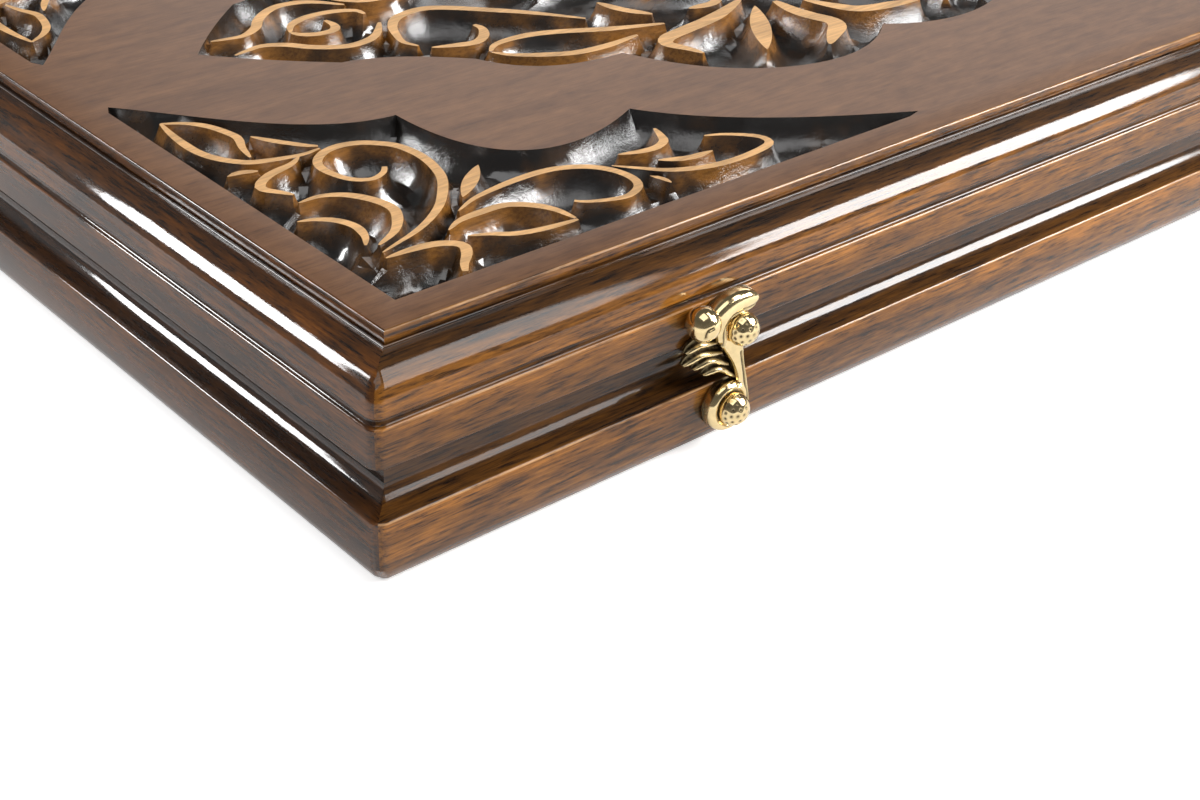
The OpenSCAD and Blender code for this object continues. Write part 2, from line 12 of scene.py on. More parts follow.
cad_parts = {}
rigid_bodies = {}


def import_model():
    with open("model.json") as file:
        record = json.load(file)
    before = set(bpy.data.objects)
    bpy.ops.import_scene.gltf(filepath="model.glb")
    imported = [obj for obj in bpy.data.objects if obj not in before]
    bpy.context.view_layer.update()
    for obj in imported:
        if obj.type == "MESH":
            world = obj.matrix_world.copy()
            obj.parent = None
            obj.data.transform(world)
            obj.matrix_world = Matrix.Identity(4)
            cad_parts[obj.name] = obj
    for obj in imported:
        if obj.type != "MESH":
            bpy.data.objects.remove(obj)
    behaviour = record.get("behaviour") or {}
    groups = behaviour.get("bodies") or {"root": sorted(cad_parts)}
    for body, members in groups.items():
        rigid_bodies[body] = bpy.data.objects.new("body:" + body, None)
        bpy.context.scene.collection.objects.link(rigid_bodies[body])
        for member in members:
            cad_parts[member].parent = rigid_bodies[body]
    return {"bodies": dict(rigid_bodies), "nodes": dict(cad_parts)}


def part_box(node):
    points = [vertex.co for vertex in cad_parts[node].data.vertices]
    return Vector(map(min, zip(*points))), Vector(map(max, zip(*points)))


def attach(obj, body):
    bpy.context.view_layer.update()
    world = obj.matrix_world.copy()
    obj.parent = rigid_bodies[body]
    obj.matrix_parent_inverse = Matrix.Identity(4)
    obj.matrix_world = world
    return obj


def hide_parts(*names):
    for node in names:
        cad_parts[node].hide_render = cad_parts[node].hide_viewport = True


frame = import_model()
for starter in list(bpy.context.scene.objects):
    if starter.name not in frame["nodes"] and starter not in frame["bodies"].values():
        bpy.data.objects.remove(starter)
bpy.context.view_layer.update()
BOARD_LOW, BOARD_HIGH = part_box("lid_carved_board")
RAIL_LOW, RAIL_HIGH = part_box("base_front_rail")

bl_info = {
    "name": "Carved Backgammon Case",
    "version": (1, 0, 0),
    "blender": (4, 5, 0),
    "location": "View3D > Sidebar > Case",
    "description": "Builds the carved lid, rails, latches and stage of a folding backgammon case",
    "category": "Add Mesh",
}

MM = 0.001


def length(name, text, value):
    """A size that a user may change, kept in metres."""
    return bpy.props.FloatProperty(
        name=name, description=text, default=value * MM, min=0.0, precision=5, unit="LENGTH")


def colour(name, text, value):
    """A colour that a user may change."""
    return bpy.props.FloatVectorProperty(
        name=name, description=text, default=value, size=3, min=0.0, max=1.0, subtype="COLOR")


class MouldingSizes(bpy.types.PropertyGroup):
    arris_step: length("Arris step", "Height that the board stands above the moulding", 2.6)
    quirk_width: length("Quirk", "Flat beside the board before the ovolo starts", 1.0)
    fillet_out: length("Fillet out", "Distance from the arris out to the fillet", 9.3)
    fillet_drop: length("Fillet drop", "Depth of the fillet's upper edge below the lid's top", 9.6)
    fillet_foot: length("Fillet foot", "Height of the fillet's lower edge", 38.0)
    lid_face_out: length("Lid face out", "Distance from the arris to the lid's lower face", 9.85)
    lid_face_top: length("Lid face top", "Height of the upper arris of the lid's lower face", 36.2)
    lid_face_foot: length("Lid face foot", "Height of the lower edge of that face", 27.4)
    neck_out: length("Neck out", "Distance from the arris to the neck between lid and base", 3.8)
    cove_radius: length("Cove radius", "Radius between the base's neck and its ledge", 4.2)
    ledge_rise: length("Ledge rise", "Height that the base's ledge rises towards the cove", 0.7)
    face_top: length("Base face top", "Height of the base's widest face at its arris", 15.4)
    face_bottom: length("Base face bottom", "Height of the lower edge of that face", 4.5)
    foot_out: length("Foot out", "Distance from the arris out to the edge that rests", 6.9)
    edge_round: length("Edge rounding", "Radius of the sanded edges of the rails", 0.5)
    lip: length("Lip", "Height of the fine lips beside the quirk and the fillet", 0.4)
    corner_round: length("Corner rounding", "Radius of the case's upright corners", 2.9)


class CarvingSizes(bpy.types.PropertyGroup):
    depth: length("Depth", "Depth of the carved hollows", 7.4)
    border: length("Border", "Flat border around the carving", 8.7)
    arris_round: length("Arris rounding", "Radius of the board's outer edge", 0.5)
    step: length("Step", "Distance between points along the carved edges", 1.3)


class LatchSizes(bpy.types.PropertyGroup):
    plate_back: length("Plate back", "Gap between the case and the back of the hook's plate", 0.3)
    plate_front: length("Plate front", "Distance from the case to the front of the plate", 2.9)
    boss_radius: length("Boss radius", "Radius of the round boss", 5.9)
    ball_radius: length("Ball radius", "Radius of the ball at the end of the scroll", 3.8)
    dome_back: length("Dome back", "Distance from the case to the back of a domed head", 3.6)
    dome_centre: length("Dome centre", "Distance from the case to the centre of a domed head", 4.1)
    dome_radius: length("Dome radius", "Radius of a domed head", 3.75)
    shank_radius: length("Shank radius", "Radius of the shank of a domed pin", 1.7)
    edge: length("Edge", "Radius of the rounded edges of the cast hook", 0.85)


class CaseColours(bpy.types.PropertyGroup):
    rail_dark: colour("Rail dark", "Dark streaks of the varnished rails", (0.048, 0.017, 0.0035))
    rail_amber: colour("Rail amber", "Light streaks of the varnished rails", (0.40, 0.147, 0.015))
    # light line along the rails' arrises: wear and painted highlight
    worn_and_highlight: colour("Worn edges", "Wood that shows along the rails' sanded edges", (0.62, 0.36, 0.17))
    board_dark: colour("Board dark", "Dark grain of the carved board", (0.080, 0.033, 0.013))
    board_light: colour("Board light", "Light grain of the carved board", (0.170, 0.079, 0.034))
    sanded: colour("Sanded tops", "Bare tops of the scrolls", (0.58, 0.33, 0.135))
    flank: colour("Flanks", "Upper part of the carved walls", (0.25, 0.100, 0.014))
    hollow: colour("Hollows", "Bottom of the carved hollows", (0.007, 0.0045, 0.003))
    field: colour("Playing field", "Veneer of the playing fields", (0.30, 0.16, 0.075))
    dark_wood: colour("Dark wood", "Dark points and checkers", (0.060, 0.026, 0.013))
    light_wood: colour("Light wood", "Light points and checkers", (0.62, 0.41, 0.20))
    ivory: colour("Ivory", "Dice", (0.86, 0.80, 0.66))
    brass: colour("Brass", "Polished brass", (0.84, 0.66, 0.36))
    patina: colour("Patina", "Dark patina in the brass recesses", (0.018, 0.012, 0.006))


# ---------------------------------------------------------------- drawing in the plane


def cubic(a, b, c, d, count):
    """Points along a cubic curve, without its first point."""
    a, b, c, d = (np.array(p, float) for p in (a, b, c, d))
    t = np.linspace(0, 1, count + 1)[1:, None]
    return list(a * (1 - t) ** 3 + 3 * b * t * (1 - t) ** 2 + 3 * c * t * t * (1 - t) + d * t ** 3)


def through(points, step):
    """Points about a step apart on a smooth curve through the given points."""
    p = np.array(points, float)
    p = np.vstack([2 * p[0] - p[1], p, 2 * p[-1] - p[-2]])
    out = [p[1]]
    for a, b, c, d in zip(p[:-3], p[1:-2], p[2:-1], p[3:]):
        count = max(1, round(np.linalg.norm(c - b) / step))
        t = (np.arange(count) + 1)[:, None] / count
        out.extend(0.5 * (2 * b + (c - a) * t + (2 * a - 5 * b + 4 * c - d) * t ** 2
                          + (3 * b - a - 3 * c + d) * t ** 3))
    return np.array(out)


def densify(points, step):
    """A closed outline with points at most a step apart."""
    p = np.array(points, float)
    out = []
    for a, b in zip(p, np.roll(p, -1, 0)):
        count = max(1, math.ceil(np.linalg.norm(b - a) / step - 1e-6))
        out.extend(a + (b - a) * (np.arange(count) / count)[:, None])
    return np.array(out)


def side_vectors(path):
    """Unit vectors to the left of each point of an open path."""
    d = np.gradient(path, axis=0)
    d /= np.maximum(np.linalg.norm(d, axis=1), 1e-9)[:, None]
    return np.column_stack([-d[:, 1], d[:, 0]])


TAPER = 0.3  # share of a scroll's length over which each of its ends narrows
SWELL = 0.6  # power of the curve by which it widens: below 1 it widens fast, then slowly
START_SHARE, END_SHARE = 0.45, 0.55  # how much of the listed end widths the knife left standing
HALF_WIDTH = 0.43  # half the flat top, as a share of the listed width


def ribbon(points, width, start, end, step):
    """Outline of a scroll of a given width, narrowed to a share of it at its two ends."""
    path = through(points, step)
    t = np.linspace(0, 1, len(path))
    rise, fall = np.clip(t / TAPER, 0, 1), np.clip((1 - t) / TAPER, 0, 1)
    start, end = start * START_SHARE, end * END_SHARE
    share = np.minimum(start + (1 - start) * rise ** SWELL, end + (1 - end) * fall ** SWELL)
    side = side_vectors(path) * (width * HALF_WIDTH * share)[:, None]
    return np.vstack([path + side, (path - side)[::-1]])


ALMOND_BELLY = 0.8  # power of the bud's curve: below 1 it is fuller towards its ends


def almond(a, b, width, step):
    """Outline of a bud from a to b, pointed at both ends."""
    a, b = np.array(a, float), np.array(b, float)
    count = max(6, round(np.linalg.norm(b - a) / step))
    t = np.linspace(0, 1, count + 1)
    d = (b - a) / np.linalg.norm(b - a)
    side = np.outer(np.sin(math.pi * t) ** ALMOND_BELLY * width / 2, [-d[1], d[0]])
    path = a + np.outer(t, b - a)
    return np.vstack([path + side, (path - side)[::-1][1:-1]])


def inside(points, outline):
    """Which points lie inside a closed outline."""
    p = np.asarray(points)
    hit = np.zeros(len(p), bool)
    low, high = outline.min(0), outline.max(0)
    near = np.all((p >= low) & (p <= high), axis=1)
    q = p[near]
    if not len(q):
        return hit
    a, b = outline, np.roll(outline, -1, 0)
    x, y = q[:, 0:1], q[:, 1:2]
    crosses = (a[:, 1] > y) != (b[:, 1] > y)
    slope = (b[:, 0] - a[:, 0]) / np.where(b[:, 1] == a[:, 1], 1e-12, b[:, 1] - a[:, 1])
    hit[near] = np.sum(crosses & (x < a[:, 0] + (y - a[:, 1]) * slope), axis=1) % 2 == 1
    return hit


SEARCH_STEP = 0.3  # distance between the points of a search tree along an outline
LINE_SHARES = np.arange(0, 1.01, 0.2)[:, None]  # its points along each stretch of an open line
LONGEST_STRETCH = 5  # a stretch of an open line that is longer is a gap in it


def edge_tree(outlines, line=None):
    """A search tree over points close together on closed outlines and on an open line."""
    points = np.vstack([densify(o, SEARCH_STEP) for o in outlines])
    if line is not None:
        near = np.linalg.norm(np.diff(line, axis=0), axis=1) < LONGEST_STRETCH
        for a, b in zip(line[:-1][near], line[1:][near]):
            points = np.vstack([points, a + (b - a) * LINE_SHARES])
    tree = KDTree(len(points))
    for i, p in enumerate(points):
        tree.insert((p[0], p[1], 0), i)
    tree.balance()
    return tree


def distances(points, tree):
    """Distance from each point to the nearest one in a search tree."""
    return np.array([tree.find((p[0], p[1], 0))[2] for p in points])


def thin(points, cell):
    """At most one point in each cell of a grid."""
    if not len(points):
        return points
    keys = np.floor(points / cell).astype(int)
    return points[np.unique(keys, axis=0, return_index=True)[1]]


def turned_left(outline):
    """An outline whose points run counterclockwise."""
    x, y = outline[:, 0], outline[:, 1]
    return outline if np.sum(x * np.roll(y, -1) - np.roll(x, -1) * y) > 0 else outline[::-1]


SAME_PLACE = 1e-6
CUT_TOLERANCE = 1e-4  # mm within which the triangulation takes two points for one
ROW_SHARE = 0.87  # distance between the rows of a grid of triangles, as a share of their side
RING_SHARE, GRID_SHARE = 0.9, 0.35  # how near another edge, and a ring, a point may come


def triangulated(loops, points):
    """Triangles between points, of which the first are the closed loops' in their order."""
    outlines, at = [], 0
    for loop in loops:
        outlines.append(list(range(at, at + len(loop))))
        at += len(loop)
    return delaunay_2d_cdt([Vector(p) for p in points], [], outlines, 1, CUT_TOLERANCE, True)


def relief(outline, ribs, rings, grid, seam=None):
    """Triangles over an outline, with finer rings beside its edge and the edges of its ribs.

    A ring is its distance from the edge, the step along it and the room that a point keeps free.
    Gives the points, the triangles, which triangles are a rib's top, each point's distance to the
    nearest edge, 0 on an edge or a rib, and its distance to the nearest rib. The outline's points
    at x = seam are no edge.
    """
    outline = turned_left(outline)
    ribs = [turned_left(r) for r in ribs]
    edges = [outline] + ribs
    wall = outline if seam is None else outline[np.abs(outline[:, 0] - seam) > SAME_PLACE]
    tree = edge_tree(ribs + [outline]) if seam is None else edge_tree(ribs, wall)

    def between(found):
        """The points inside the outline and outside its ribs."""
        keep = inside(found, outline)
        for r in ribs:
            keep &= ~inside(found, r)
        return found[keep]

    chosen = []
    for offset, skip, cell in rings:
        found = []
        for o in [wall] + ribs:
            d = np.roll(o, -1, 0) - np.roll(o, 1, 0)
            d /= np.maximum(np.linalg.norm(d, axis=1), 1e-9)[:, None]
            n = np.column_stack([-d[:, 1], d[:, 0]])
            for sign in (-1, 1):
                found.append((o + sign * offset * n)[::skip])
        found = between(np.vstack(found))
        chosen.append(thin(found[distances(found, tree) > RING_SHARE * offset], cell))
    low, high = outline.min(0), outline.max(0)
    xs, ys = np.arange(low[0], high[0], grid), np.arange(low[1], high[1], grid * ROW_SHARE)
    found = between(np.array([(x + (j % 2) * grid / 2, y) for j, y in enumerate(ys) for x in xs]))
    chosen.append(found[distances(found, tree) > rings[-1][0] + GRID_SHARE * grid])
    fixed = np.vstack(edges)
    made = triangulated(edges, np.vstack([fixed] + chosen))
    verts = np.array([(v[0], v[1]) for v in made[0]])
    tops, tris = [], []
    for tri, source in zip(made[2], made[5]):
        if 0 in source:
            tris.append(tuple(tri))
            tops.append(any(s > 0 for s in source))
    flat = np.zeros(len(verts), bool)
    for tri, top in zip(tris, tops):
        if top:
            flat[list(tri)] = True
    on_wall = np.ones(len(fixed), bool)
    if seam is not None:
        on_wall[:len(outline)] = np.abs(outline[:, 0] - seam) > SAME_PLACE
    for i, source in enumerate(made[3]):
        if any(s < len(fixed) and on_wall[s] for s in source):
            flat[i] = True
    distance = distances(verts, tree)
    distance[flat] = 0
    return verts, tris, tops, distance, distances(verts, edge_tree(ribs))


# ---------------------------------------------------------------- working on a piece


def deselect():
    """Leaves edit mode and selects nothing."""
    if bpy.context.object and bpy.context.object.mode != "OBJECT":
        bpy.ops.object.mode_set(mode="OBJECT")
    bpy.ops.object.select_all(action="DESELECT")


def only(piece):
    """Selects one piece and makes it the active one."""
    deselect()
    piece.select_set(True)
    bpy.context.view_layer.objects.active = piece


def edit(piece):
    """Opens a piece for editing with all of it selected."""
    only(piece)
    bpy.ops.object.mode_set(mode="EDIT")
    bpy.ops.mesh.select_all(action="SELECT")


MERGED = 2e-6  # vertices nearer than this become one
SMOOTH, CARVED_SMOOTH, CAST_SMOOTH = 30, 32, 50  # degrees below which two faces are shaded as one


def settle(piece, smooth=SMOOTH):
    """Puts a piece's place into its mesh, turns its faces outwards and shades it by angle."""
    only(piece)
    bpy.ops.object.transform_apply(location=True, rotation=True, scale=True)
    edit(piece)
    bpy.ops.mesh.remove_doubles(threshold=MERGED)
    bpy.ops.mesh.normals_make_consistent(inside=False)
    bpy.ops.object.mode_set(mode="OBJECT")
    bpy.ops.object.shade_smooth_by_angle(angle=math.radians(smooth))
    return piece


def dress(piece, body, nodes, slot, *materials):
    """Gives a piece its materials, the body that it rides on and the solids it stands for."""
    if materials:
        piece.data.materials.clear()
        for m in materials:
            piece.data.materials.append(m)
    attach(piece, body)
    if nodes:
        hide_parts(*nodes)
    return piece


def mesh_piece(name, verts, faces, material_index=None, materials=()):
    """A piece made of given vertices and faces."""
    data = bpy.data.meshes.new(name)
    data.from_pydata([tuple(v) for v in verts], [], [tuple(f) for f in faces])
    for m in materials:
        data.materials.append(m)
    if material_index is not None:
        data.polygons.foreach_set("material_index", material_index)
    data.update()
    piece = bpy.data.objects.new(name, data)
    bpy.context.scene.collection.objects.link(piece)
    return piece


# ---------------------------------------------------------------- finishes


def times(tone, *shares):
    """A colour times one share, or times a share for each of its parts, but never over white."""
    return [min(1.0, c * k) for c, k in zip(tone, shares if len(shares) > 1 else shares * 3)]


class Finish:
    """A procedural material, built node by node."""

    def __init__(self, name):
        self.material = bpy.data.materials.new(name)
        self.material.use_nodes = True
        self.tree = self.material.node_tree
        self.shader = self.tree.nodes["Principled BSDF"]

    def node(self, kind, inputs=None, **settings):
        """A node with its settings and with values or links at its inputs."""
        made = self.tree.nodes.new(kind)
        for key, value in settings.items():
            setattr(made, key, value)
        for key, value in (inputs or {}).items():
            if isinstance(value, bpy.types.NodeSocket):
                self.tree.links.new(value, made.inputs[key])
            else:
                made.inputs[key].default_value = value
        return made

    def place(self, scale=(1, 1, 1), offset=(0, 0, 0)):
        """The case's own coordinates, stretched and moved."""
        own = self.node("ShaderNodeTexCoord").outputs["Object"]
        return self.node("ShaderNodeMapping", {
            "Vector": own, "Scale": scale, "Location": offset}).outputs[0]

    def noise(self, vector, scale=1.0, detail=4.0, roughness=0.55, distortion=0.0):
        """Smooth noise, mostly between 0.3 and 0.7."""
        return self.node("ShaderNodeTexNoise", {
            "Vector": vector, "Scale": scale, "Detail": detail, "Roughness": roughness,
            "Distortion": distortion}).outputs["Fac"]

    def ramp(self, value, *stops):
        """Colours or greys at given values, blended in between."""
        made = self.node("ShaderNodeValToRGB", {"Fac": value})
        ramp = made.color_ramp
        while len(ramp.elements) < len(stops):
            ramp.elements.new(0.5)
        for element, (position, tone) in zip(ramp.elements, stops):
            element.position = position
            element.color = (*tone, 1) if hasattr(tone, "__len__") else (tone, tone, tone, 1)
        return made.outputs["Color"]

    def mix(self, factor, a, b, blend="MIX"):
        """Colour a with colour b blended over it."""
        made = self.node("ShaderNodeMix", data_type="RGBA", blend_type=blend)
        for key, value in ((0, factor), (6, a), (7, b)):
            if isinstance(value, bpy.types.NodeSocket):
                self.tree.links.new(value, made.inputs[key])
            elif key:
                made.inputs[key].default_value = (*value, 1)
            else:
                made.inputs[key].default_value = value
        return made.outputs[2]

    def darkened(self, tone, value, *stops):
        """A colour times a grey that follows a value."""
        return self.mix(1.0, tone, self.ramp(value, *stops), "MULTIPLY")

    def maths(self, operation, a, b=0.0, clamp=False):
        """One sum with two values."""
        made = self.node("ShaderNodeMath", {0: a, 1: b}, operation=operation, use_clamp=clamp)
        return made.outputs[0]

    def total(self, *parts):
        """The sum of values, each times its share."""
        out = None
        for value, share in parts:
            part = self.maths("MULTIPLY", value, share)
            out = part if out is None else self.maths("ADD", out, part)
        return out

    def axis(self, letter):
        """One of the case's own coordinates."""
        own = self.node("ShaderNodeTexCoord").outputs["Object"]
        return self.node("ShaderNodeSeparateXYZ", {0: own}).outputs[letter]

    def span(self, value, low, high, out_low=0.0, out_high=1.0):
        """A value carried over from one range to another."""
        return self.node("ShaderNodeMapRange", {
            "Value": value, "From Min": low, "From Max": high, "To Min": out_low,
            "To Max": out_high}).outputs[0]

    def bump(self, height, strength, distance, normal=None):
        """A surface direction tilted by a height."""
        inputs = {"Height": height, "Strength": strength, "Distance": distance}
        if normal is not None:
            inputs["Normal"] = normal
        return self.node("ShaderNodeBump", inputs).outputs[0]

    def surface(self, **sockets):
        """Sets the shader's inputs and gives the material."""
        for key, value in sockets.items():
            target = self.shader.inputs[key.replace("_", " ")]
            if isinstance(value, bpy.types.NodeSocket):
                self.tree.links.new(value, target)
            elif hasattr(value, "__len__") and len(value) == 3:
                target.default_value = (*value, 1)
            else:
                target.default_value = value
        return self.material


def grain(finish, along, seed):
    """Broad bands, blotches and fine fibres of wood whose grain runs along X or Y."""
    def stretched(run, across):
        scale = (run, across, across) if along == "X" else (across, run, across)
        return finish.place(scale, (seed, seed * 0.37, seed * 0.71))
    bands = finish.noise(stretched(9, 190), detail=4, roughness=0.6, distortion=0.4)
    blotches = finish.noise(stretched(34, 130), detail=5, roughness=0.65, distortion=1.2)
    fibres = finish.noise(stretched(95, 1300), detail=4, roughness=0.7, distortion=0.2)
    return bands, blotches, fibres


def painted_light_by_height(sizes, under_board):
    """How light the varnished wood is made at shares of the case's height, all as painted light
    and
    shade: each face lighter towards the arris above it, painted shade in the recesses under the
    overhangs, in the cavetto and in the quirk, and as light as is said in the strip just under the
    board."""
    quirk, fillet = BOARD_HIGH.z - sizes.arris_step, BOARD_HIGH.z - sizes.fillet_drop
    stops = ((0.0, 0.62), (sizes.face_top - 5 * MM, 0.80), (sizes.face_top, 1.15),
             (sizes.face_top + 0.05 * MM, 0.30), (BASE_TOP * MM, 0.26),
             (sizes.lid_face_foot - 0.3 * MM, 0.30), (sizes.lid_face_foot, 0.42),
             (sizes.lid_face_top - 3 * MM, 0.85), (sizes.lid_face_top, 1.20),
             (sizes.lid_face_top + 0.2 * MM, 0.36), (sizes.fillet_foot - 0.1 * MM, 0.36),
             (sizes.fillet_foot + 0.1 * MM, 0.95), (fillet, 0.95), (fillet + 3 * MM, 0.62),
             (quirk - 1.2 * MM, under_board), (quirk, 0.22), (quirk + 0.3 * MM, 0.80))
    return [(z / BOARD_HIGH.z, share) for z, share in stops]


def rail_finish(along):
    """Clear gloss varnish over streaked walnut, with painted light and shade by height, a darker
    copy for the side rails as painted shade, and a light line of wear and painted highlight along
    the arrises of the rails whose grain runs along X.
    """
    tones = bpy.context.scene.case_colours
    sizes = bpy.context.scene.moulding_sizes
    f = Finish("gloss_walnut_along_" + along.lower())
    bands, blotches, fibres = grain(f, along, seed=3.1 if along == "X" else 7.7)
    mixed = f.total((bands, 0.28), (blotches, 0.26), (fibres, 0.46))
    dark, amber = tones.rail_dark, tones.rail_amber
    # the side rails' colours are darker and duller: painted shade for the sides that get less
    # light
    if along == "Y":
        dark, amber = times(dark, 0.5), times(amber, 0.50, 0.42, 0.27)
    middle = [a * 0.62 + b * 0.38 for a, b in zip(dark, amber)]
    wood = f.ramp(mixed, (0.40, dark), (0.50, middle), (0.62, amber))
    wood = f.darkened(wood, fibres, (0.34, 0.30), (0.46, 1.0))
    height = f.axis("Z")
    # the strip under the board: painted shade on the front rails, a painted amber glow on the side
    # rails
    painted_light = painted_light_by_height(sizes, 0.22 if along == "X" else 0.9)
    wood = f.darkened(wood, f.span(height, 0.0, BOARD_HIGH.z), *painted_light)
    # light line along these arrises: wear, together with a painted highlight that the side rails
    # don't get
    if along == "X":
        worn_and_highlight, under = None, 0.18 * MM
        for z in (sizes.face_top - under, sizes.lid_face_top - under, BOARD_HIGH.z - 0.2 * MM):
            gap = f.maths("ABSOLUTE", f.maths("SUBTRACT", height, z))
            away = f.span(gap, 0.1 * MM, 0.24 * MM)
            worn_and_highlight = away if worn_and_highlight is None else f.maths("MINIMUM", worn_and_highlight, away)
        uneven = f.span(blotches, 0.38, 0.58, 0.1, 0.6)
        wood = f.mix(f.maths("MULTIPLY", f.maths("SUBTRACT", 1.0, worn_and_highlight), uneven), wood, tones.worn_and_highlight)
    ripple = f.noise(f.place((60, 60, 60)), detail=2)
    return f.surface(
        Base_Color=wood, Roughness=0.6, Specular_IOR_Level=0.08, Coat_Weight=1.0,
        Coat_Roughness=0.05, Coat_IOR=1.41 if along == "X" else 1.5,
        Normal=f.bump(fibres, 0.10, 0.0002),
        Coat_Normal=f.bump(fibres, 0.16, 0.0001, f.bump(ripple, 0.10, 0.0004)))


def board_finish():
    """Satin walnut with a fine mottle."""
    tones = bpy.context.scene.case_colours
    f = Finish("satin_walnut")
    bands, blotches, fibres = grain(f, "X", seed=1.3)
    mottle = f.noise(f.place((180, 420, 420)), detail=3, roughness=0.6)
    mixed = f.total((bands, 0.30), (blotches, 0.30), (fibres, 0.15), (mottle, 0.25))
    wood = f.ramp(mixed, (0.38, tones.board_dark), (0.62, tones.board_light))
    wood = f.darkened(wood, fibres, (0.34, 0.80), (0.50, 1.0))
    return f.surface(Base_Color=wood, Roughness=0.40, Specular_IOR_Level=0.4,
                     Normal=f.bump(fibres, 0.10, 0.0002))


def sanded_finish():
    """Bare light wood of the scroll tops."""
    tones = bpy.context.scene.case_colours
    f = Finish("sanded_scroll_tops")
    _, blotches, fibres = grain(f, "X", seed=5.9)
    wood = f.ramp(f.total((fibres, 0.5), (blotches, 0.5)),
                  (0.36, times(tones.sanded, 0.55)), (0.6, times(tones.sanded, 1.12)))
    return f.surface(Base_Color=wood, Roughness=0.5, Specular_IOR_Level=0.35,
                     Normal=f.bump(fibres, 0.2, 0.0002))


def hollow_finish():
    """Thick varnish over wood that is amber beside the scrolls and darkens to nearly black away
    from them.
    """
    tones = bpy.context.scene.case_colours
    f = Finish("varnished_hollows")
    _, _, fibres = grain(f, "X", seed=2.2)
    away = f.node("ShaderNodeAttribute", attribute_name="from_scroll").outputs["Fac"]
    patches = f.noise(f.place(), scale=70, detail=2)
    uneven = f.maths("ADD", away, f.maths("MULTIPLY", f.maths("SUBTRACT", patches, 0.50), 3.4))
    wood = f.ramp(uneven, (0.0, tones.flank), (0.20, times(tones.flank, 0.42)),
                  (0.50, times(tones.flank, 0.15)), (0.9, tones.hollow))
    wood = f.darkened(wood, fibres, (0.36, 0.55), (0.56, 1.0))
    speckle = f.noise(f.place(), scale=1500, detail=3, roughness=0.75)
    gouges = f.noise(f.place(), scale=170, detail=2, roughness=0.4, distortion=0.4)
    rough = f.noise(f.place(), scale=60, detail=2)
    pitted = f.maths("MULTIPLY", speckle, f.span(rough, 0.40, 0.62, 0.15, 1.0))
    normal = f.bump(gouges, 0.28, 0.0010, f.bump(pitted, 0.55, 0.0003))
    return f.surface(Base_Color=wood, Roughness=0.5, Specular_IOR_Level=0.1, Coat_Weight=1.0,
                     Coat_Roughness=0.13, Coat_IOR=1.75, Normal=normal, Coat_Normal=normal)


def brass_finish():
    """Polished cast brass, dull and dark with patina in its recesses, and with painted shade in a
    ring under the pivot's domed head.
    """
    tones = bpy.context.scene.case_colours
    f = Finish("polished_brass")
    cast = f.noise(f.place(), scale=700, detail=3)
    tint = f.ramp(cast, (0.3, times(tones.brass, 0.88)), (0.7, tones.brass))
    recess = f.node("ShaderNodeAttribute", attribute_name="recess").outputs["Fac"]
    dull = f.maths("MULTIPLY", recess, f.span(cast, 0.2, 0.5, 0.75, 1.0), clamp=True)
    return f.surface(Base_Color=f.mix(dull, tint, tones.patina), Metallic=1.0,
                     Roughness=f.span(dull, 0.0, 1.0, 0.13, 0.45),
                     Normal=f.bump(cast, 0.07, 0.0002))


def fine_wood_finish(name, tone, along, seed, depth=0.55, coat=0.12):
    """Close-grained wood with a satin coat; depth says how dark its dark streaks are."""
    f = Finish(name)
    bands, blotches, fibres = grain(f, along, seed=seed)
    wood = f.ramp(f.total((bands, 0.5), (fibres, 0.5)),
                  (0.36, times(tone, depth)), (0.50, tone), (0.66, times(tone, 1.2)))
    wood = f.darkened(wood, blotches, (0.35, 0.85), (0.6, 1.0))
    return f.surface(Base_Color=wood, Roughness=0.5, Specular_IOR_Level=0.3, Coat_Weight=coat,
                     Coat_Roughness=0.25, Normal=f.bump(fibres, 0.12, 0.0002))


def ivory_finish():
    """Slightly clouded plastic."""
    f = Finish("polished_ivory_plastic")
    tone = bpy.context.scene.case_colours.ivory
    cloud = f.noise(f.place(), scale=160, detail=4)
    body = f.ramp(cloud, (0.35, times(tone, 0.93, 0.88, 0.78)), (0.65, tone))
    return f.surface(Base_Color=body, Roughness=f.span(cloud, 0.3, 0.7, 0.22, 0.32),
                     Subsurface_Weight=0.15, Subsurface_Scale=0.002)


# ---------------------------------------------------------------- rails

ARRIS_X = BOARD_HIGH.x / MM
ARRIS_Y = (BOARD_HIGH.y - BOARD_LOW.y) / 2 / MM
MIDDLE_Y = (BOARD_HIGH.y + BOARD_LOW.y) / 2 / MM
TOP = BOARD_HIGH.z / MM
BOARD_UNDER = BOARD_LOW.z / MM
OVERHANG = BOARD_LOW.y / MM - RAIL_LOW.y / MM
BASE_TOP = RAIL_HIGH.z / MM
LID_BOTTOM = TOP - BASE_TOP
INNER_IN = (RAIL_HIGH.y - BOARD_LOW.y) / MM
START = 0.01  # radius or length of a form before its vertices go to their places
MITRE_SHARP, MITRE_FADE = 4, 5  # sharp out to here from the arris, then ever rounder over this
MITRE_BENDS = [math.radians(angle) for angle in (45, 34, 22, 11, 0)]  # round the rounded corner

SLIGHT_TURN = math.radians(25)  # corners that turn less than this stay as they are


def rounded(points, radius):
    """An outline whose corners are rounded."""
    p = [np.array(q, float) for q in points]
    out = []
    for a, b, c in zip(p[-1:] + p, p, p[1:] + p[:1]):
        u, v = (a - b) / np.linalg.norm(a - b), (c - b) / np.linalg.norm(c - b)
        turn = math.acos(max(-1, min(1, float(-u @ v))))
        if turn < SLIGHT_TURN:
            out.append(b)
            continue
        cut = min(radius * math.tan(turn / 2),
                  0.45 * np.linalg.norm(a - b), 0.45 * np.linalg.norm(c - b))
        start, end = b + u * cut, b + v * cut
        out.append(start)
        out.extend(cubic(start, b + u * cut * 0.45, b + v * cut * 0.45, end, 4))
    return out


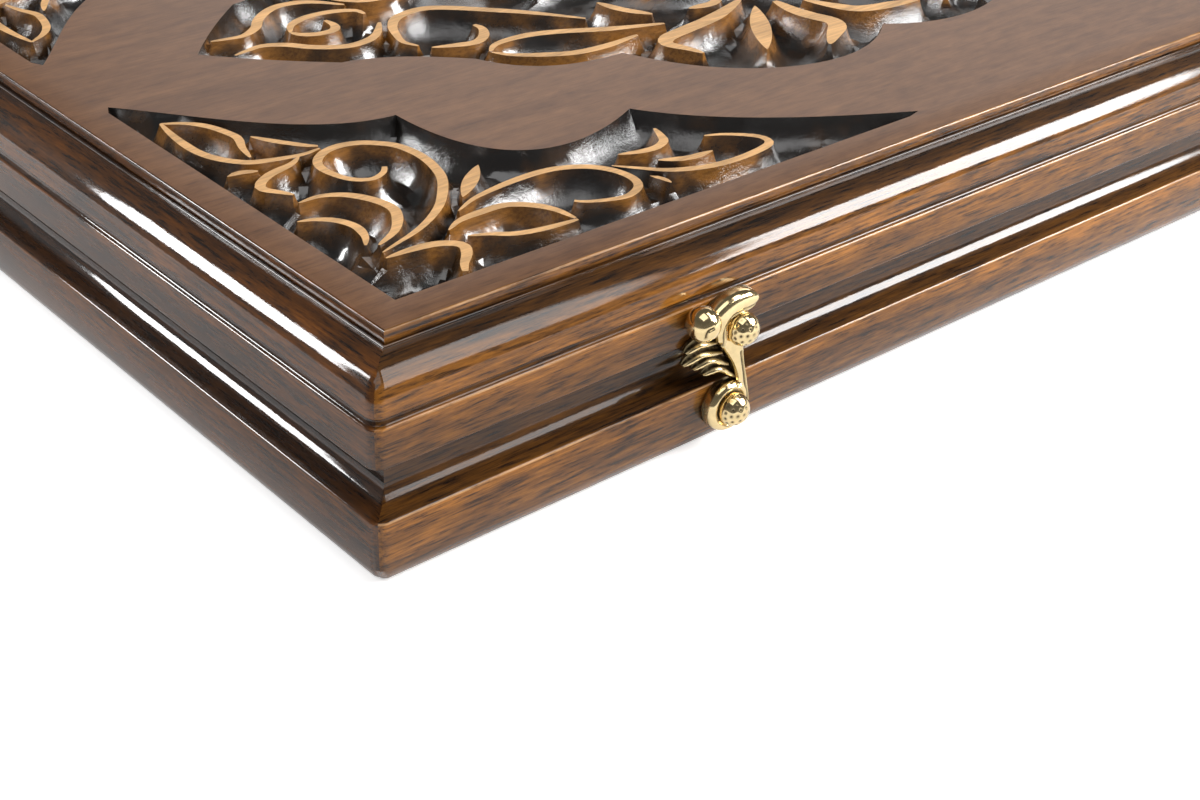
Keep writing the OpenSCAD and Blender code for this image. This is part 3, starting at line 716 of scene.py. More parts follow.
def ovolo(out):
    """From the board's side: a fine groove, the quirk, its small drop and the ovolo."""
    s = bpy.context.scene.moulding_sizes
    step, quirk, drop = s.arris_step / MM, s.quirk_width / MM, s.fillet_drop / MM
    lip = s.lip / MM
    z = TOP - step
    wide, high = out - quirk - 0.1, drop - step - lip
    curve = [(out - wide * (1 - math.sin(a)), TOP - drop + high * math.cos(a))
             for a in np.radians(range(0, 91, 4))]
    return [(0, z - 0.5), (0.28, z - 0.5), (0.42, z), (quirk - 0.1, z), (quirk, z - lip)] + curve


def lid_side():
    """Ovolo, fillet, a small cavetto, the lower face and the neck that hides the parting."""
    s = bpy.context.scene.moulding_sizes
    out, face, neck = s.fillet_out / MM, s.lid_face_out / MM, s.neck_out / MM
    low, top, foot = s.fillet_foot / MM, s.lid_face_top / MM, s.lid_face_foot / MM
    return ovolo(out) + [
        (out, low), (out - 0.55, low - 0.15), (out - 0.6, low - 0.7), (out - 0.25, top + 0.25),
        (face, top), (face, foot), (face - 0.8, foot - 0.4), (neck, foot - 0.4),
        (neck, LID_BOTTOM)]


def base_side():
    """Foot, widest face, the sloping ledge, the cove and the neck."""
    s = bpy.context.scene.moulding_sizes
    foot, low, high = s.foot_out / MM, s.face_bottom / MM, s.face_top / MM
    neck, r, rise = s.neck_out / MM, s.cove_radius / MM, s.ledge_rise / MM
    slope = math.atan2(rise, OVERHANG - neck - r)
    cove = [(neck + r - r * math.sin(a), high + rise + r - r * math.cos(a))
            for a in np.linspace(slope, math.pi / 2, 16)]
    return [(foot, 0), (OVERHANG - 0.4 * (OVERHANG - foot), 0.4 * low), (OVERHANG, low),
            (OVERHANG, high)] + cove + [(neck, BASE_TOP)]


def lid_section():
    """The lid rail's whole section: the moulding, the inner face and the rebate over the board."""
    return lid_side() + [(-INNER_IN, LID_BOTTOM), (-INNER_IN, BOARD_UNDER), (0, BOARD_UNDER)]


def base_section():
    """The base rail's whole section: the moulding, the inner face and the rebate for the board."""
    return base_side() + [(-INNER_IN, BASE_TOP), (-INNER_IN, TOP - BOARD_UNDER),
                          (0, TOP - BOARD_UNDER), (0, 0)]


def rail(name, section, out, material):
    """A moulded rail: its section drawn out along the case, mitred and rounded at its ends."""
    sizes = bpy.context.scene.moulding_sizes
    out, up = Vector(out), Vector((0, 0, 1))
    along = out.cross(up)
    half, away = (ARRIS_Y, ARRIS_X) if out.x else (ARRIS_X, ARRIS_Y)
    origin = Vector((0, MIDDLE_Y, 0)) + out * away
    turn = Matrix((out, up, along)).transposed()
    points = rounded(section, sizes.edge_round / MM)
    deselect()
    bpy.ops.mesh.primitive_circle_add(
        vertices=len(points), radius=START, fill_type="NGON", location=origin * MM,
        rotation=turn.to_euler())
    piece = bpy.context.object
    piece.name = name
    for vertex, (x, y) in zip(piece.data.vertices, points):
        vertex.co = (x * MM, y * MM, 0)
    edit(piece)
    stations = [(-1, bend) for bend in MITRE_BENDS] + [(1, bend) for bend in reversed(MITRE_BENDS)]
    for _ in stations[1:]:
        bpy.ops.mesh.extrude_region_move(TRANSFORM_OT_translate={"value": along * START})
    bpy.ops.object.mode_set(mode="OBJECT")
    for vertex in piece.data.vertices:
        x, y, z = vertex.co / MM
        end, bend = stations[round(z * MM / START)]
        r = sizes.corner_round / MM * max(0, min(1, (x - MITRE_SHARP) / MITRE_FADE))
        vertex.co = ((x - r * (1 - math.cos(bend))) * MM, y * MM,
                     end * (half + x - r * (1 - math.sin(bend))) * MM)
    return dress(settle(piece), "lid" if name.startswith("lid") else "base",
                 [name.replace("_moulded", "")], "gloss_walnut", material)


class CASE_OT_rails(bpy.types.Operator):
    """Draw out and mitre the moulded rails of the lid and the base"""
    bl_idname = "case.rails"
    bl_label = "Moulded Rails"

    def execute(self, context):
        along_x, along_y = rail_finish("X"), rail_finish("Y")
        for half, section in (("lid", lid_section()), ("base", base_section())):
            rail(half + "_front_rail_moulded", section, (0, -1, 0), along_x)
            rail(half + "_left_rail_moulded", section, (-1, 0, 0), along_y)
            rail(half + "_right_rail_moulded", section, (1, 0, 0), along_y)
            frame["nodes"][half + "_back_rail"].material_slots[0].material = along_x
        return {"FINISHED"}


# ---------------------------------------------------------------- carved board

CORNER_SCROLLS = [
    # points from the arris corner, width, share of the width left at the start and at the end
    ([(18.2, 26.4), (30, 30.5), (38.2, 35.5), (43.6, 40.9), (48.2, 47.3), (50.5, 53.6), (51.4, 60),
      (50.5, 66.4), (48.2, 70), (44.5, 73.2), (40, 74.5), (35.5, 73.6), (31.8, 70.5), (30.5, 66.4),
      (31.4, 60.9), (33.2, 57.7), (36.4, 55.9), (40, 57.3), (41.8, 59.5)], 2.7, 0.3, 0.9),
    ([(15, 108.6), (14.1, 102.7), (13.6, 96.4), (13.8, 90), (15.5, 84.5), (19.1, 79.5),
      (23.6, 77.3), (30.9, 75.5), (36, 76)], 2.6, 0.6, 0.4),
    ([(15, 108.6), (19.5, 105.5), (22.7, 101), (24.5, 94.5), (24.5, 91), (22.7, 86.4), (21.4, 81)],
     2.4, 0.6, 0.5),
    ([(27.3, 90.5), (30, 85.5), (34.5, 79), (36.4, 77.3)], 2.2, 0.4, 0.7),
    ([(12.3, 75.5), (15.5, 75.6), (19, 74)], 2.2, 0.3, 0.5),
    ([(30, 75), (26.4, 72.7), (20, 70.9), (16, 68.2), (15, 65.5), (17.3, 61.8), (18.6, 59.5)],
     2.7, 0.3, 0.6),
    ([(17.3, 55.5), (22.7, 55.5), (27.3, 52.7), (30.5, 47.3), (31.4, 41.8), (29.5, 37.3),
      (25.5, 32.7), (19.5, 29.5)], 2.8, 0.35, 0.4),
    ([(12.3, 48.2), (15.9, 46.8), (19.1, 43.6), (20.5, 39.1), (19.5, 34.5), (17.3, 31)],
     2.4, 0.35, 0.4),
    ([(17.3, 24), (22.7, 24), (28.2, 23.2), (31.8, 21), (32.7, 18.6), (30.9, 15.5), (28.2, 12.7),
      (26.4, 10)], 2.8, 0.35, 0.9),
    ([(41.4, 32.3), (47.3, 35), (54.5, 36.4), (62.7, 37.1), (70, 36.4), (76.4, 33.2), (80, 28.2),
      (80.9, 22.7), (79.1, 18.6), (74.5, 16.4), (70, 17.3), (65.5, 19.5), (63.6, 21.4)],
     2.5, 0.3, 0.7),
    ([(34.5, 26.4), (39.1, 28.6), (45.5, 29.1), (50.9, 28.6), (55, 25.5), (57.7, 20.9),
      (58.6, 15)], 2.6, 0.3, 0.6),
    ([(36, 22), (40, 20), (44.5, 16.8), (50.9, 15), (58.6, 14.2)], 2.2, 0.4, 0.7),
    ([(81.4, 30), (85.4, 25.4), (90, 20.7), (96.4, 17.5), (102.9, 16.1), (110, 16.1),
      (117.1, 17.5), (118.6, 20.7), (116.4, 24.3), (112.1, 27.9), (108.6, 29.6)], 2.5, 0.35, 0.5),
    ([(91.5, 26), (97.5, 22.9), (104.5, 22.5)], 2.6, 0.4, 0.25),
    ([(86.4, 33.6), (91.4, 31.8), (95.7, 31.4), (99.3, 33), (101, 36), (102.3, 39.5)],
     2.5, 0.35, 0.5),
    ([(84.6, 21), (85.8, 18.4), (86, 15.7)], 1.6, 0.3, 0.5),
]
CORNER_BUDS = [((46, 37), (58.5, 48), 3.4)]

# One quarter of the medallion, turned over to the other three
MEDALLION_SCROLLS = [
    ([(50, 134.3), (54.3, 135.2), (58.6, 135.7), (63.6, 132.9), (67.1, 128.6), (71.4, 125),
      (76.4, 122.9), (82.1, 123.6), (86.4, 126.4), (91, 132)], 3.2, 0.5, 0.5),
    ([(91.4, 110), (96.4, 107.9), (102.1, 106.4), (106.4, 108.6), (109.3, 112.9), (109.3, 116.4)],
     3.2, 0.4, 0.7),
    ([(89.3, 112.9), (87.9, 117.1), (89.3, 122.1), (92.1, 127.9), (96.4, 132.1), (102.1, 133.6),
      (107.1, 132.9), (112.1, 129.3), (119.3, 122.1), (126.4, 114.3), (135, 102.9)],
     3.4, 0.6, 0.4),
    ([(101.4, 99.3), (105, 102.1), (110.7, 102.9), (117.1, 102.1), (124.3, 99.3), (135, 93.6),
      (149, 88)], 3.4, 0.5, 0.5),
    ([(101.4, 98.6), (103.6, 95), (107.9, 91.4), (113.6, 87.9), (119.3, 85.7), (127.9, 85),
      (138, 86)], 3.2, 0.5, 0.5),
    ([(143.1, 66.9), (141.9, 71.5), (140, 76.9), (143.1, 80), (150.8, 81.5), (160, 83.1),
      (167.7, 85.4), (176.9, 89.2)], 5.0, 0.35, 0.4),
    ([(173, 52.3), (178.5, 56.2), (183.8, 60), (185.4, 63.8), (183.8, 69.2), (183, 75.4),
      (183.8, 83)], 5.6, 0.3, 0.5),
    ([(190.8, 79.2), (193.8, 71.5), (196.9, 66.2), (201.5, 63.8), (208.5, 62.3), (216, 60.8)],
     5.0, 0.4, 0.4),
    ([(161.5, 92.3), (169, 91.5), (174, 94)], 3.4, 0.4, 0.5),
    ([(145, 110), (147, 102), (151, 95)], 3.4, 0.4, 0.5),
    ([(160, 118), (175, 110), (192, 108), (208, 114), (216, 124), (212, 133), (203, 134),
      (198, 128)], 3.6, 0.4, 0.7),
    ([(225, 128), (238, 118), (250, 104), (256, 90), (254, 76), (246, 68), (236, 68), (230, 75),
      (232, 83), (238, 86)], 3.6, 0.4, 0.8),
    ([(196, 98), (208, 92), (222, 92), (234, 98)], 3.2, 0.4, 0.4),
    ([(196, 99), (208, 104), (220, 104), (234, 98)], 3.2, 0.4, 0.4),
    ([(262, 120), (266, 106), (274, 94), (284, 86), (292, 84)], 3.6, 0.4, 1.0),
    ([(262, 121), (272, 115), (282, 107), (292, 102)], 3.4, 0.4, 1.0),
    ([(286, 80), (276, 72), (268, 62), (266, 53)], 5.0, 0.4, 0.3),
    ([(212, 84), (222, 76), (228, 66), (226, 60)], 4.0, 0.4, 0.3),
    ([(140, 130), (152, 133), (166, 131), (178, 125), (190, 122)], 3.2, 0.4, 0.4),
]
MEDALLION_BUDS = [((157.5, 59), (177, 83.5), 5.2), ((262, 137), (235, 139), 5.0),
                  ((272, 128), (250, 124), 5.0)]
# On or across the medallion's long axis, turned over to its other end only
MIDDLE_SCROLLS = [
    ([(69, 139.3), (72.1, 143.6), (77.9, 146), (85, 145.7), (90.7, 142.9), (91.4, 139.3)],
     3.0, 0.5, 0.6),
    ([(69, 139.3), (70.5, 136.4), (74.3, 134.3), (78.6, 134.3), (80.7, 137.1), (80.7, 141.4)],
     3.0, 0.6, 0.6),
]
MIDDLE_BUDS = [((290, 45), (290, 79), 8.0), ((290, 235), (290, 201), 8.0)]


def corner_outline(border):
    """Edge of a corner hollow: two straight sides along the border and three bows between tips."""
    a, c1, c2, b = (border + 1.5, 124), (60, 81), (105.3, 51.5), (158.5, border + 1)
    return ([(border, border), (border, 121), a] + cubic(a, (24, 108), (38, 82), c1, 44)
            + cubic(c1, (59.5, 54), (70, 34), c2, 44) + cubic(c2, (114, 37), (130, 24), b, 48)
            + [(154.5, border)])


def medallion_quarter():
    """A quarter of the medallion's edge, end tip to middle, from the board's centre."""
    c = [(-247, 0), (-222, -25), (-194.5, -42.5), (-163, -61), (-139, -91), (-95.5, -86),
         (-48, -86), (0, -101)]
    bends = [((-238, -11), (-228, -20), 24), ((-210, -27), (-202, -35), 22),
             ((-190, -54), (-182, -61), 26), ((-158, -74), (-152, -84), 26),
             ((-126, -98), (-110, -98), 32), ((-82, -97), (-62, -96), 34),
             ((-34, -92), (-18, -101), 34)]
    out = [np.array(c[0], float)]
    for (a, b), (p, q, count) in zip(zip(c, c[1:]), bends):
        out += cubic(a, p, q, b, count)
    return np.array(out)


# The carved wall, steep and run out to a floor: distance from the edge, share of the depth
WALL = [(0, 0), (0.25, 0.13), (0.7, 0.30), (1.6, 0.53), (3.0, 0.76), (4.8, 0.93), (7.0, 1.0)]
# Rings of points beside the carved edges: distance from the edge, step along it, room kept free
RINGS = [(0.25, 1, 0.25), (0.8, 1, 0.8), (1.8, 1, 1.2), (3.2, 2, 1.7), (5.0, 3, 2.4)]
GRID = 3.2  # distance between points away from the edges
FINER = 1.3  # step along the outlines, as a share of the step along the scrolls
DARKENING_REACH = 3  # distance from a scroll over which the colour darkens


def carved_to(distance, depth):
    """Depth below the face at a distance from the nearest edge."""
    return depth * np.interp(distance, [d for d, _ in WALL], [share for _, share in WALL])


def flipped(points, across=None, along=None):
    """Points turned over within a width, within a height or within both."""
    x, y = points[:, 0], points[:, 1]
    return np.column_stack([x if across is None else across - x,
                            y if along is None else along - y])


def corner_parts(sizes, wide, high):
    """The reliefs of the four corner hollows and the outlines of their holes in the face."""
    step = sizes.step / MM
    corner = densify(corner_outline(sizes.border / MM), step * FINER)
    ribs = [ribbon(p, w, a, b, step) for p, w, a, b in CORNER_SCROLLS]
    ribs += [almond(a, b, w, step) for a, b, w in CORNER_BUDS]
    flat = relief(corner, ribs, RINGS, GRID)
    parts, holes = [], []
    for turn_x in (False, True):
        for turn_y in (False, True):
            parts.append((flat, turn_x, turn_y))
            holes.append(flipped(corner, wide if turn_x else None, high if turn_y else None))
    return parts, holes


def medallion_parts(sizes, wide, high):
    """The reliefs of the medallion's two halves and the outline of its hole in the face."""
    step = sizes.step / MM
    quarter = medallion_quarter() + (wide / 2, high / 2)
    left = densify(np.vstack([quarter, flipped(quarter, None, high)[::-1][:-1]]), step * FINER)
    ribs = []
    for p, w, a, b in MEDALLION_SCROLLS:
        shape = ribbon(p, w, a, b, step)
        ribs += [shape, flipped(shape, None, high)]
    for a, b, w in MEDALLION_BUDS:
        shape = almond(a, b, w, step)
        ribs += [shape, flipped(shape, None, high)]
    ribs += [ribbon(p, w, a, b, step) for p, w, a, b in MIDDLE_SCROLLS]
    ribs += [almond(a, b, w, step) for a, b, w in MIDDLE_BUDS]
    flat = relief(left, ribs, RINGS, GRID, wide / 2)
    seam = np.where(np.abs(left[:, 0] - wide / 2) < SAME_PLACE)[0]
    path = np.roll(left, -seam.max(), 0)[:len(left) - len(seam) + 2]
    hole = np.vstack([path, flipped(path[1:-1], wide)[::-1]])
    return [(flat, False, False), (flat, True, False)], [hole]


class CASE_OT_board(bpy.types.Operator):
    """Carve the lid board: hollows at the corners and in the middle, with scrolls left standing"""
    bl_idname = "case.board"
    bl_label = "Carved Board"

    def execute(self, context):
        sizes = context.scene.carving_sizes
        depth, r = sizes.depth / MM, sizes.arris_round / MM
        wide, high = 2 * ARRIS_X, 2 * ARRIS_Y
        parts, holes = corner_parts(sizes, wide, high)
        more_parts, more_holes = medallion_parts(sizes, wide, high)
        face, scroll_top, hollow, side_x, side_y = range(5)
        verts, faces, index, away = [], [], [], []
        for (points, tris, tops, distance, from_rib), turn_x, turn_y in parts + more_parts:
            away.extend(np.clip(from_rib / DARKENING_REACH, 0, 1))
            start = len(verts)
            for (x, y), height in zip(points, TOP - carved_to(distance, depth)):
                verts.append((wide - x if turn_x else x, high - y if turn_y else y, height))
            for tri, top in zip(tris, tops):
                tri = [start + i for i in tri]
                faces.append(tri[::-1] if turn_x != turn_y else tri)
                index.append(scroll_top if top else hollow)
        rim = np.array([(r, r), (wide - r, r), (wide - r, high - r), (r, high - r)])
        loops = [rim] + [turned_left(h) for h in holes + more_holes]
        made = triangulated(loops, np.vstack(loops))
        start = len(verts)
        verts += [(v[0], v[1], TOP) for v in made[0]]
        for tri, source in zip(made[2], made[5]):
            if list(source) == [0]:
                faces.append([start + i for i in tri])
                index.append(face)
        turns = [(r * (1 - math.sin(a)), -r * (1 - math.cos(a)))
                 for a in np.radians([0, 22, 45, 68, 90])]
        turns.append((0, BOARD_UNDER - TOP))
        rows = []
        for inset, drop in turns:
            rows.append(len(verts))
            left, right, near, far = inset, wide - inset, inset, high - inset
            verts += [(x, y, TOP + drop)
                      for x, y in ((left, near), (right, near), (right, far), (left, far))]
        for a, b in zip(rows, rows[1:]):
            for i in range(4):
                faces.append([b + i, b + (i + 1) % 4, a + (i + 1) % 4, a + i])
                index.append((side_x, side_y)[i % 2])
        faces.append([rows[-1] + i for i in (3, 2, 1, 0)])
        index.append(face)
        origin = np.array([-ARRIS_X, MIDDLE_Y - ARRIS_Y, 0])
        verts = (np.array(verts, float) + origin) * MM
        piece = mesh_piece("carved_board", verts, faces, index,
                           (board_finish(), sanded_finish(), hollow_finish(), rail_finish("X"),
                            rail_finish("Y")))
        shade = piece.data.attributes.new("from_scroll", "FLOAT", "POINT")
        shade.data.foreach_set("value", away + [1.0] * (len(verts) - len(away)))
        settle(piece, CARVED_SMOOTH)
        dress(piece, "lid", ["lid_carved_board"], "satin_walnut")
        return {"FINISHED"}


# ---------------------------------------------------------------- latches

PIN_LOW, PIN_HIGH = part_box("catch_pins")
SCREW_LOW, SCREW_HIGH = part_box("left_hook_screw")
LATCH_X = -(SCREW_LOW.x + SCREW_HIGH.x) / 2 / MM
PIVOT_Z = (SCREW_LOW.z + SCREW_HIGH.z) / 2 / MM
DOME_R = (SCREW_HIGH.z - SCREW_LOW.z) / 2 / MM
CATCH = np.array([PIN_LOW.x / MM + DOME_R + LATCH_X, (PIN_LOW.z + PIN_HIGH.z) / 2 / MM - PIVOT_Z])
FRONT = RAIL_LOW.y / MM
PIVOT_REACH = SCREW_HIGH.y / MM - FRONT
CATCH_REACH = PIN_HIGH.y / MM - FRONT
THROAT_R = 2.2  # radius of the open throat that holds the catch pin
PIVOT_HOLE_R = 2.0
PLATE_RINGS = [(0.12, 1, 0.12), (0.3, 1, 0.25), (0.55, 1, 0.28)]  # as RINGS, for the plate's edge
HORN_RISE, HORN_WIDTH = 1.5, 3.4  # height of the horn's crown and how far in it goes on rising
RING_R, RING_WIDTH, RING_RISE = 4.75, 0.8, 0.75  # the ring round the pivot
LINE_WIDTH, LINE_DEPTH = 0.33, 0.55  # the engraved lines
DARK_R, DARK_WIDTH = 3.5, 0.45  # the dark ring inside the raised ring, under the rim of the pivot's domed head: painted shade
UNDERSIDE_DARK = 0.6
PLATE_STEP, PLATE_GRID = 0.45, 0.28  # distance between points along the plate's edge and inside it
CURVE_STEP = 0.15  # distance between points along an engraved line
# Engraved lines on the plate: along its neck, and round its throat
NECK_LINE = [(2.6, 12.5), (3.0, 10.5), (3.6, 8), (4.2, 5), (4.75, 1.5), (4.7, -1.5)]
THROAT_LINE = CATCH + np.array([(-4.4, -3.2), (-4.9, -1.4), (-5.2, 0.8), (-4.4, 3.0), (-2.0, 4.3),
                                (1.2, 4.5), (3.4, 4.6), (5.2, 5.3)])
# Root, crest and tip of each leaf, from the catch
LEAVES = (((-5.2, -2.2), (-10.2, -1.0), (-13.7, -2.4)),
          ((-3.6, -5.2), (-9.4, -3.6), (-14.3, -5.1)),
          ((-1.4, -8.8), (-6.6, -5.9), (-11.4, -7.0)),
          ((0.9, -12.6), (-4.0, -8.9), (-8.4, -9.4)))
LEAF_HALF_WIDTH, LEAF_HEIGHT, LEAF_STEP = 1.12, 1.9, 0.7
LEAF_ARCH = 0.5  # how much higher a leaf is in its middle than at its ends
# Round a leaf's section, the rim and then the channel: side and height, as shares of its half
# width and its height, and how dark the metal is
LEAF_SECTION = ((-1, 0, 0.6), (-1, 0.6, 0.4), (-0.9, 0.86, 0.0), (-0.66, 0.98, 0.0),
                (-0.36, 1.0, 0.0), (-0.1, 0.9, 0.3), (0.12, 0.66, 1.0), (0.4, 0.5, 1.0),
                (0.7, 0.44, 0.9), (1, 0.4, 0.8), (1, 0, 0.8), (0, 0, 0.8))
BALL_CENTRE = CATCH + (-11.0, 4.5)
BALL_STAND = 0.8  # how far its centre stands out of the plate's back, as a share of its radius
COMMA = [(-1.9, -1.6), (-2.0, -0.5), (-1.6, 0.4), (-0.4, 0.8)]  # engraved line, from the centre
COMMA_STEP, COMMA_WIDTH, COMMA_DEPTH = 0.1, 0.22, 0.12  # its depth is a share of the radius
# Rows of dimples: degrees from the head's middle, how many, shift as a share of their distance
DIMPLE_ROWS = ((0, 1, 0), (25, 6, 0), (48, 11, 0.5), (71, 15, 0))
DIMPLE_WIDTH, DIMPLE_DEPTH = 0.095, 0.06  # in radians, and as a share of the head's radius
DOME_FLATTENED = 0.9


def at_latch(points, x, z=PIVOT_Z):
    """Points given in mm to the right, up and out of a latch's front, in the case's frame."""
    p = np.asarray(points, float)
    return np.column_stack([x + p[:, 0], FRONT - p[:, 2], z + p[:, 1]]) * MM


def on_circle(angle):
    """The point at an angle in radians on a circle of radius 1."""
    return np.array([math.cos(angle), math.sin(angle)])


def hook_outline(boss):
    """Outline of the hook in mm from its pivot: neck, open throat, horn, shoulder and boss."""
    def ring(angle):
        return CATCH + THROAT_R * on_circle(math.radians(angle))

    right, left = np.array([boss - 0.1, 0.4]), np.array([2.2, 4.9])
    neck, lip = CATCH + (2.3, -6), ring(-75)
    tip, back, shoulder = CATCH + (5.2, 5.6), CATCH + (-7.8, 5.4), CATCH + (-6.1, -1.8)
    return np.array(
        [right] + cubic(right, right + (0, 4), neck + (0.2, -4), neck, 16)
        + cubic(neck, neck + (-0.1, 2), lip + (1.9, -1.2), lip + (1.2, -0.3), 6)
        + [ring(angle) for angle in range(-70, -266, -8)]
        + cubic(ring(95), CATCH + (2.2, 2.9), CATCH + (4.7, 3.2), tip, 14)
        + cubic(tip, CATCH + (5.2, 8.9), CATCH + (-4.0, 9.5), back, 24)
        + cubic(back, CATCH + (-8.8, 3.4), CATCH + (-6.8, 1.4), shoulder, 14)
        + cubic(shoulder, CATCH + (-3.9, -4.4), left + (-0.6, 5.3), left, 18)
        + [boss * on_circle(a) for a in np.radians(range(76, 360, 5))])


def away_from(points, line):
    """Distance from points to an open line of points that are close together."""
    return np.linalg.norm(points[:, None, :] - line[None, :, :], axis=2).min(1)


def bell(distance, width):
    """1 at no distance, falling off smoothly to either side."""
    return np.exp(-(distance / width) ** 2)


def rounding(distance, radius):
    """Height of a quarter round at a distance in from its edge."""
    return np.sqrt(radius ** 2 - (radius - np.minimum(distance, radius)) ** 2)


def tell_recess(piece, values):
    """Notes at each point how dark the metal is: 0 on polished metal, 1 for patina in a hollow,
    and painted shade in the ring under the pivot's domed head.
    """
    shade = piece.data.attributes.new("recess", "FLOAT", "POINT")
    shade.data.foreach_set("value", list(values))


def hook_plate(x):
    """The cast plate: rounded edges, crowned horn, ring round the pivot, two engraved lines."""
    s = bpy.context.scene.latch_sizes
    back, front, edge = s.plate_back / MM, s.plate_front / MM, s.edge / MM
    hole = np.array([PIVOT_HOLE_R * on_circle(a) for a in np.radians(range(0, 360, 12))])
    flat, tris, tops, distance, _ = relief(
        densify(hook_outline(s.boss_radius / MM), PLATE_STEP), [hole], PLATE_RINGS, PLATE_GRID)
    tris = [t for t, top in zip(tris, tops) if not top]
    out = front - edge + rounding(distance, edge)
    right, up = (flat - CATCH).T
    horn = np.clip((up - 1.5) / 3.0, 0, 1) + np.clip((-3.4 - right) / 2, 0, 1) * (up > -4)
    out += HORN_RISE * np.clip(horn, 0, 1) * rounding(distance / HORN_WIDTH, 1)
    from_pivot = np.linalg.norm(flat, axis=1)
    out += RING_RISE * bell(from_pivot - RING_R, RING_WIDTH) * (distance > 0)
    cut = np.zeros(len(flat))
    for line in (NECK_LINE, THROAT_LINE):
        cut = np.maximum(cut, bell(away_from(flat, through(line, CURVE_STEP)), LINE_WIDTH))
    out -= LINE_DEPTH * cut
    # dark in the engraved lines, and a ring of painted shade just under the rim of the pivot's
    # domed head
    dull = np.maximum(cut, bell(from_pivot - DARK_R, DARK_WIDTH))
    count = len(flat)
    top = np.column_stack([flat, out])
    under = np.column_stack([flat, np.full(count, back)])
    faces = [tuple(t) for t in tris] + [tuple(i + count for i in reversed(t)) for t in tris]
    sides = {side: True for t in tris for side in zip(t, (t[1], t[2], t[0]))}
    faces += [(j, i, i + count, j + count) for i, j in sides if (j, i) not in sides]
    piece = mesh_piece("hook_plate", at_latch(np.vstack([top, under]), x), faces)
    tell_recess(piece, list(dull) + [UNDERSIDE_DARK] * count)
    return piece


def loft(name, rings):
    """A closed form through rings of points, drawn out from a circle one ring at a time."""
    deselect()
    sides = len(rings[0])
    bpy.ops.mesh.primitive_circle_add(
        vertices=sides, radius=START, fill_type="NGON", location=(0, 0, 0))
    piece = bpy.context.object
    piece.name = name
    edit(piece)
    for _ in rings[1:]:
        bpy.ops.mesh.extrude_region_move(TRANSFORM_OT_translate={"value": (0, 0, START)})
    bpy.ops.object.mode_set(mode="OBJECT")
    places = []
    for vertex in piece.data.vertices:
        x, y, z = vertex.co
        place = (round(z / START), round(math.atan2(-x, y) / (2 * math.pi / sides)) % sides)
        places.append(place)
        vertex.co = rings[place[0]][place[1]]
    return piece, places


def hook_leaf(root, crest, tip, x):
    """A curled leaf that arches up from the plate's edge, with a raised rim and a dark channel."""
    s = bpy.context.scene.latch_sizes
    back = s.plate_back / MM
    path = through(CATCH + np.array([root, crest, tip]), LEAF_STEP)
    rings = []
    for i, (p, n) in enumerate(zip(path, side_vectors(path))):
        t = i / (len(path) - 1)
        near_tip = max(0, (t - 0.8) / 0.2)
        wide = LEAF_HALF_WIDTH * min(1, 0.62 + 1.2 * t) * math.sqrt(max(0.04, 1 - near_tip ** 2))
        arch = math.sin(math.pi * min(1, t * 1.15)) - near_tip
        high = LEAF_HEIGHT + LEAF_ARCH * arch
        rings.append(at_latch([(*(p - n * wide * a), back + high * b)
                               for a, b, _ in LEAF_SECTION], x))
    piece, places = loft("hook_leaf", rings)
    tell_recess(piece, [min(1, LEAF_SECTION[k][2] + max(0, 0.6 - i * 0.1)) for i, k in places])
    return piece


def sphere(radius, segments, rings):
    """A sphere about the origin, and its points in mm."""
    deselect()
    bpy.ops.mesh.primitive_uv_sphere_add(
        segments=segments, ring_count=rings, radius=radius * MM, location=(0, 0, 0))
    piece = bpy.context.object
    return piece, np.array([v.co for v in piece.data.vertices]) / MM


def move_to(piece, places):
    """Puts a piece's vertices at given places, in their order."""
    for vertex, place in zip(piece.data.vertices, places):
        vertex.co = place


def hook_ball(x):
    """The ball at the end of the scroll, flat at its back, with an engraved comma."""
    s = bpy.context.scene.latch_sizes
    back, r = s.plate_back / MM, s.ball_radius / MM
    piece, p = sphere(r, 72, 48)
    cut = bell(away_from(p[:, :2], through(COMMA, COMMA_STEP)), COMMA_WIDTH) * (p[:, 2] > 0)
    p *= (1 - COMMA_DEPTH * cut)[:, None]
    p += (*BALL_CENTRE, back + BALL_STAND * r)
    p[:, 2] = np.maximum(p[:, 2], back)
    move_to(piece, at_latch(p, x))
    tell_recess(piece, cut)
    return piece


def dimples(directions):
    """Depth, 0 to 1, of the punched dimples at unit directions round a domed head."""
    depth = np.zeros(len(directions))
    for polar, count, shift in DIMPLE_ROWS:
        for k in range(count):
            a, b = math.radians(polar), 2 * math.pi * (k + shift) / count
            centre = np.array([math.sin(a) * math.cos(b), math.sin(a) * math.sin(b), math.cos(a)])
            apart = np.arccos(np.clip(directions @ centre, -1, 1))
            punch = 0.6 + 0.4 * math.sin(7 * k + polar)
            depth = np.maximum(depth, punch * bell(apart, DIMPLE_WIDTH))
    return depth


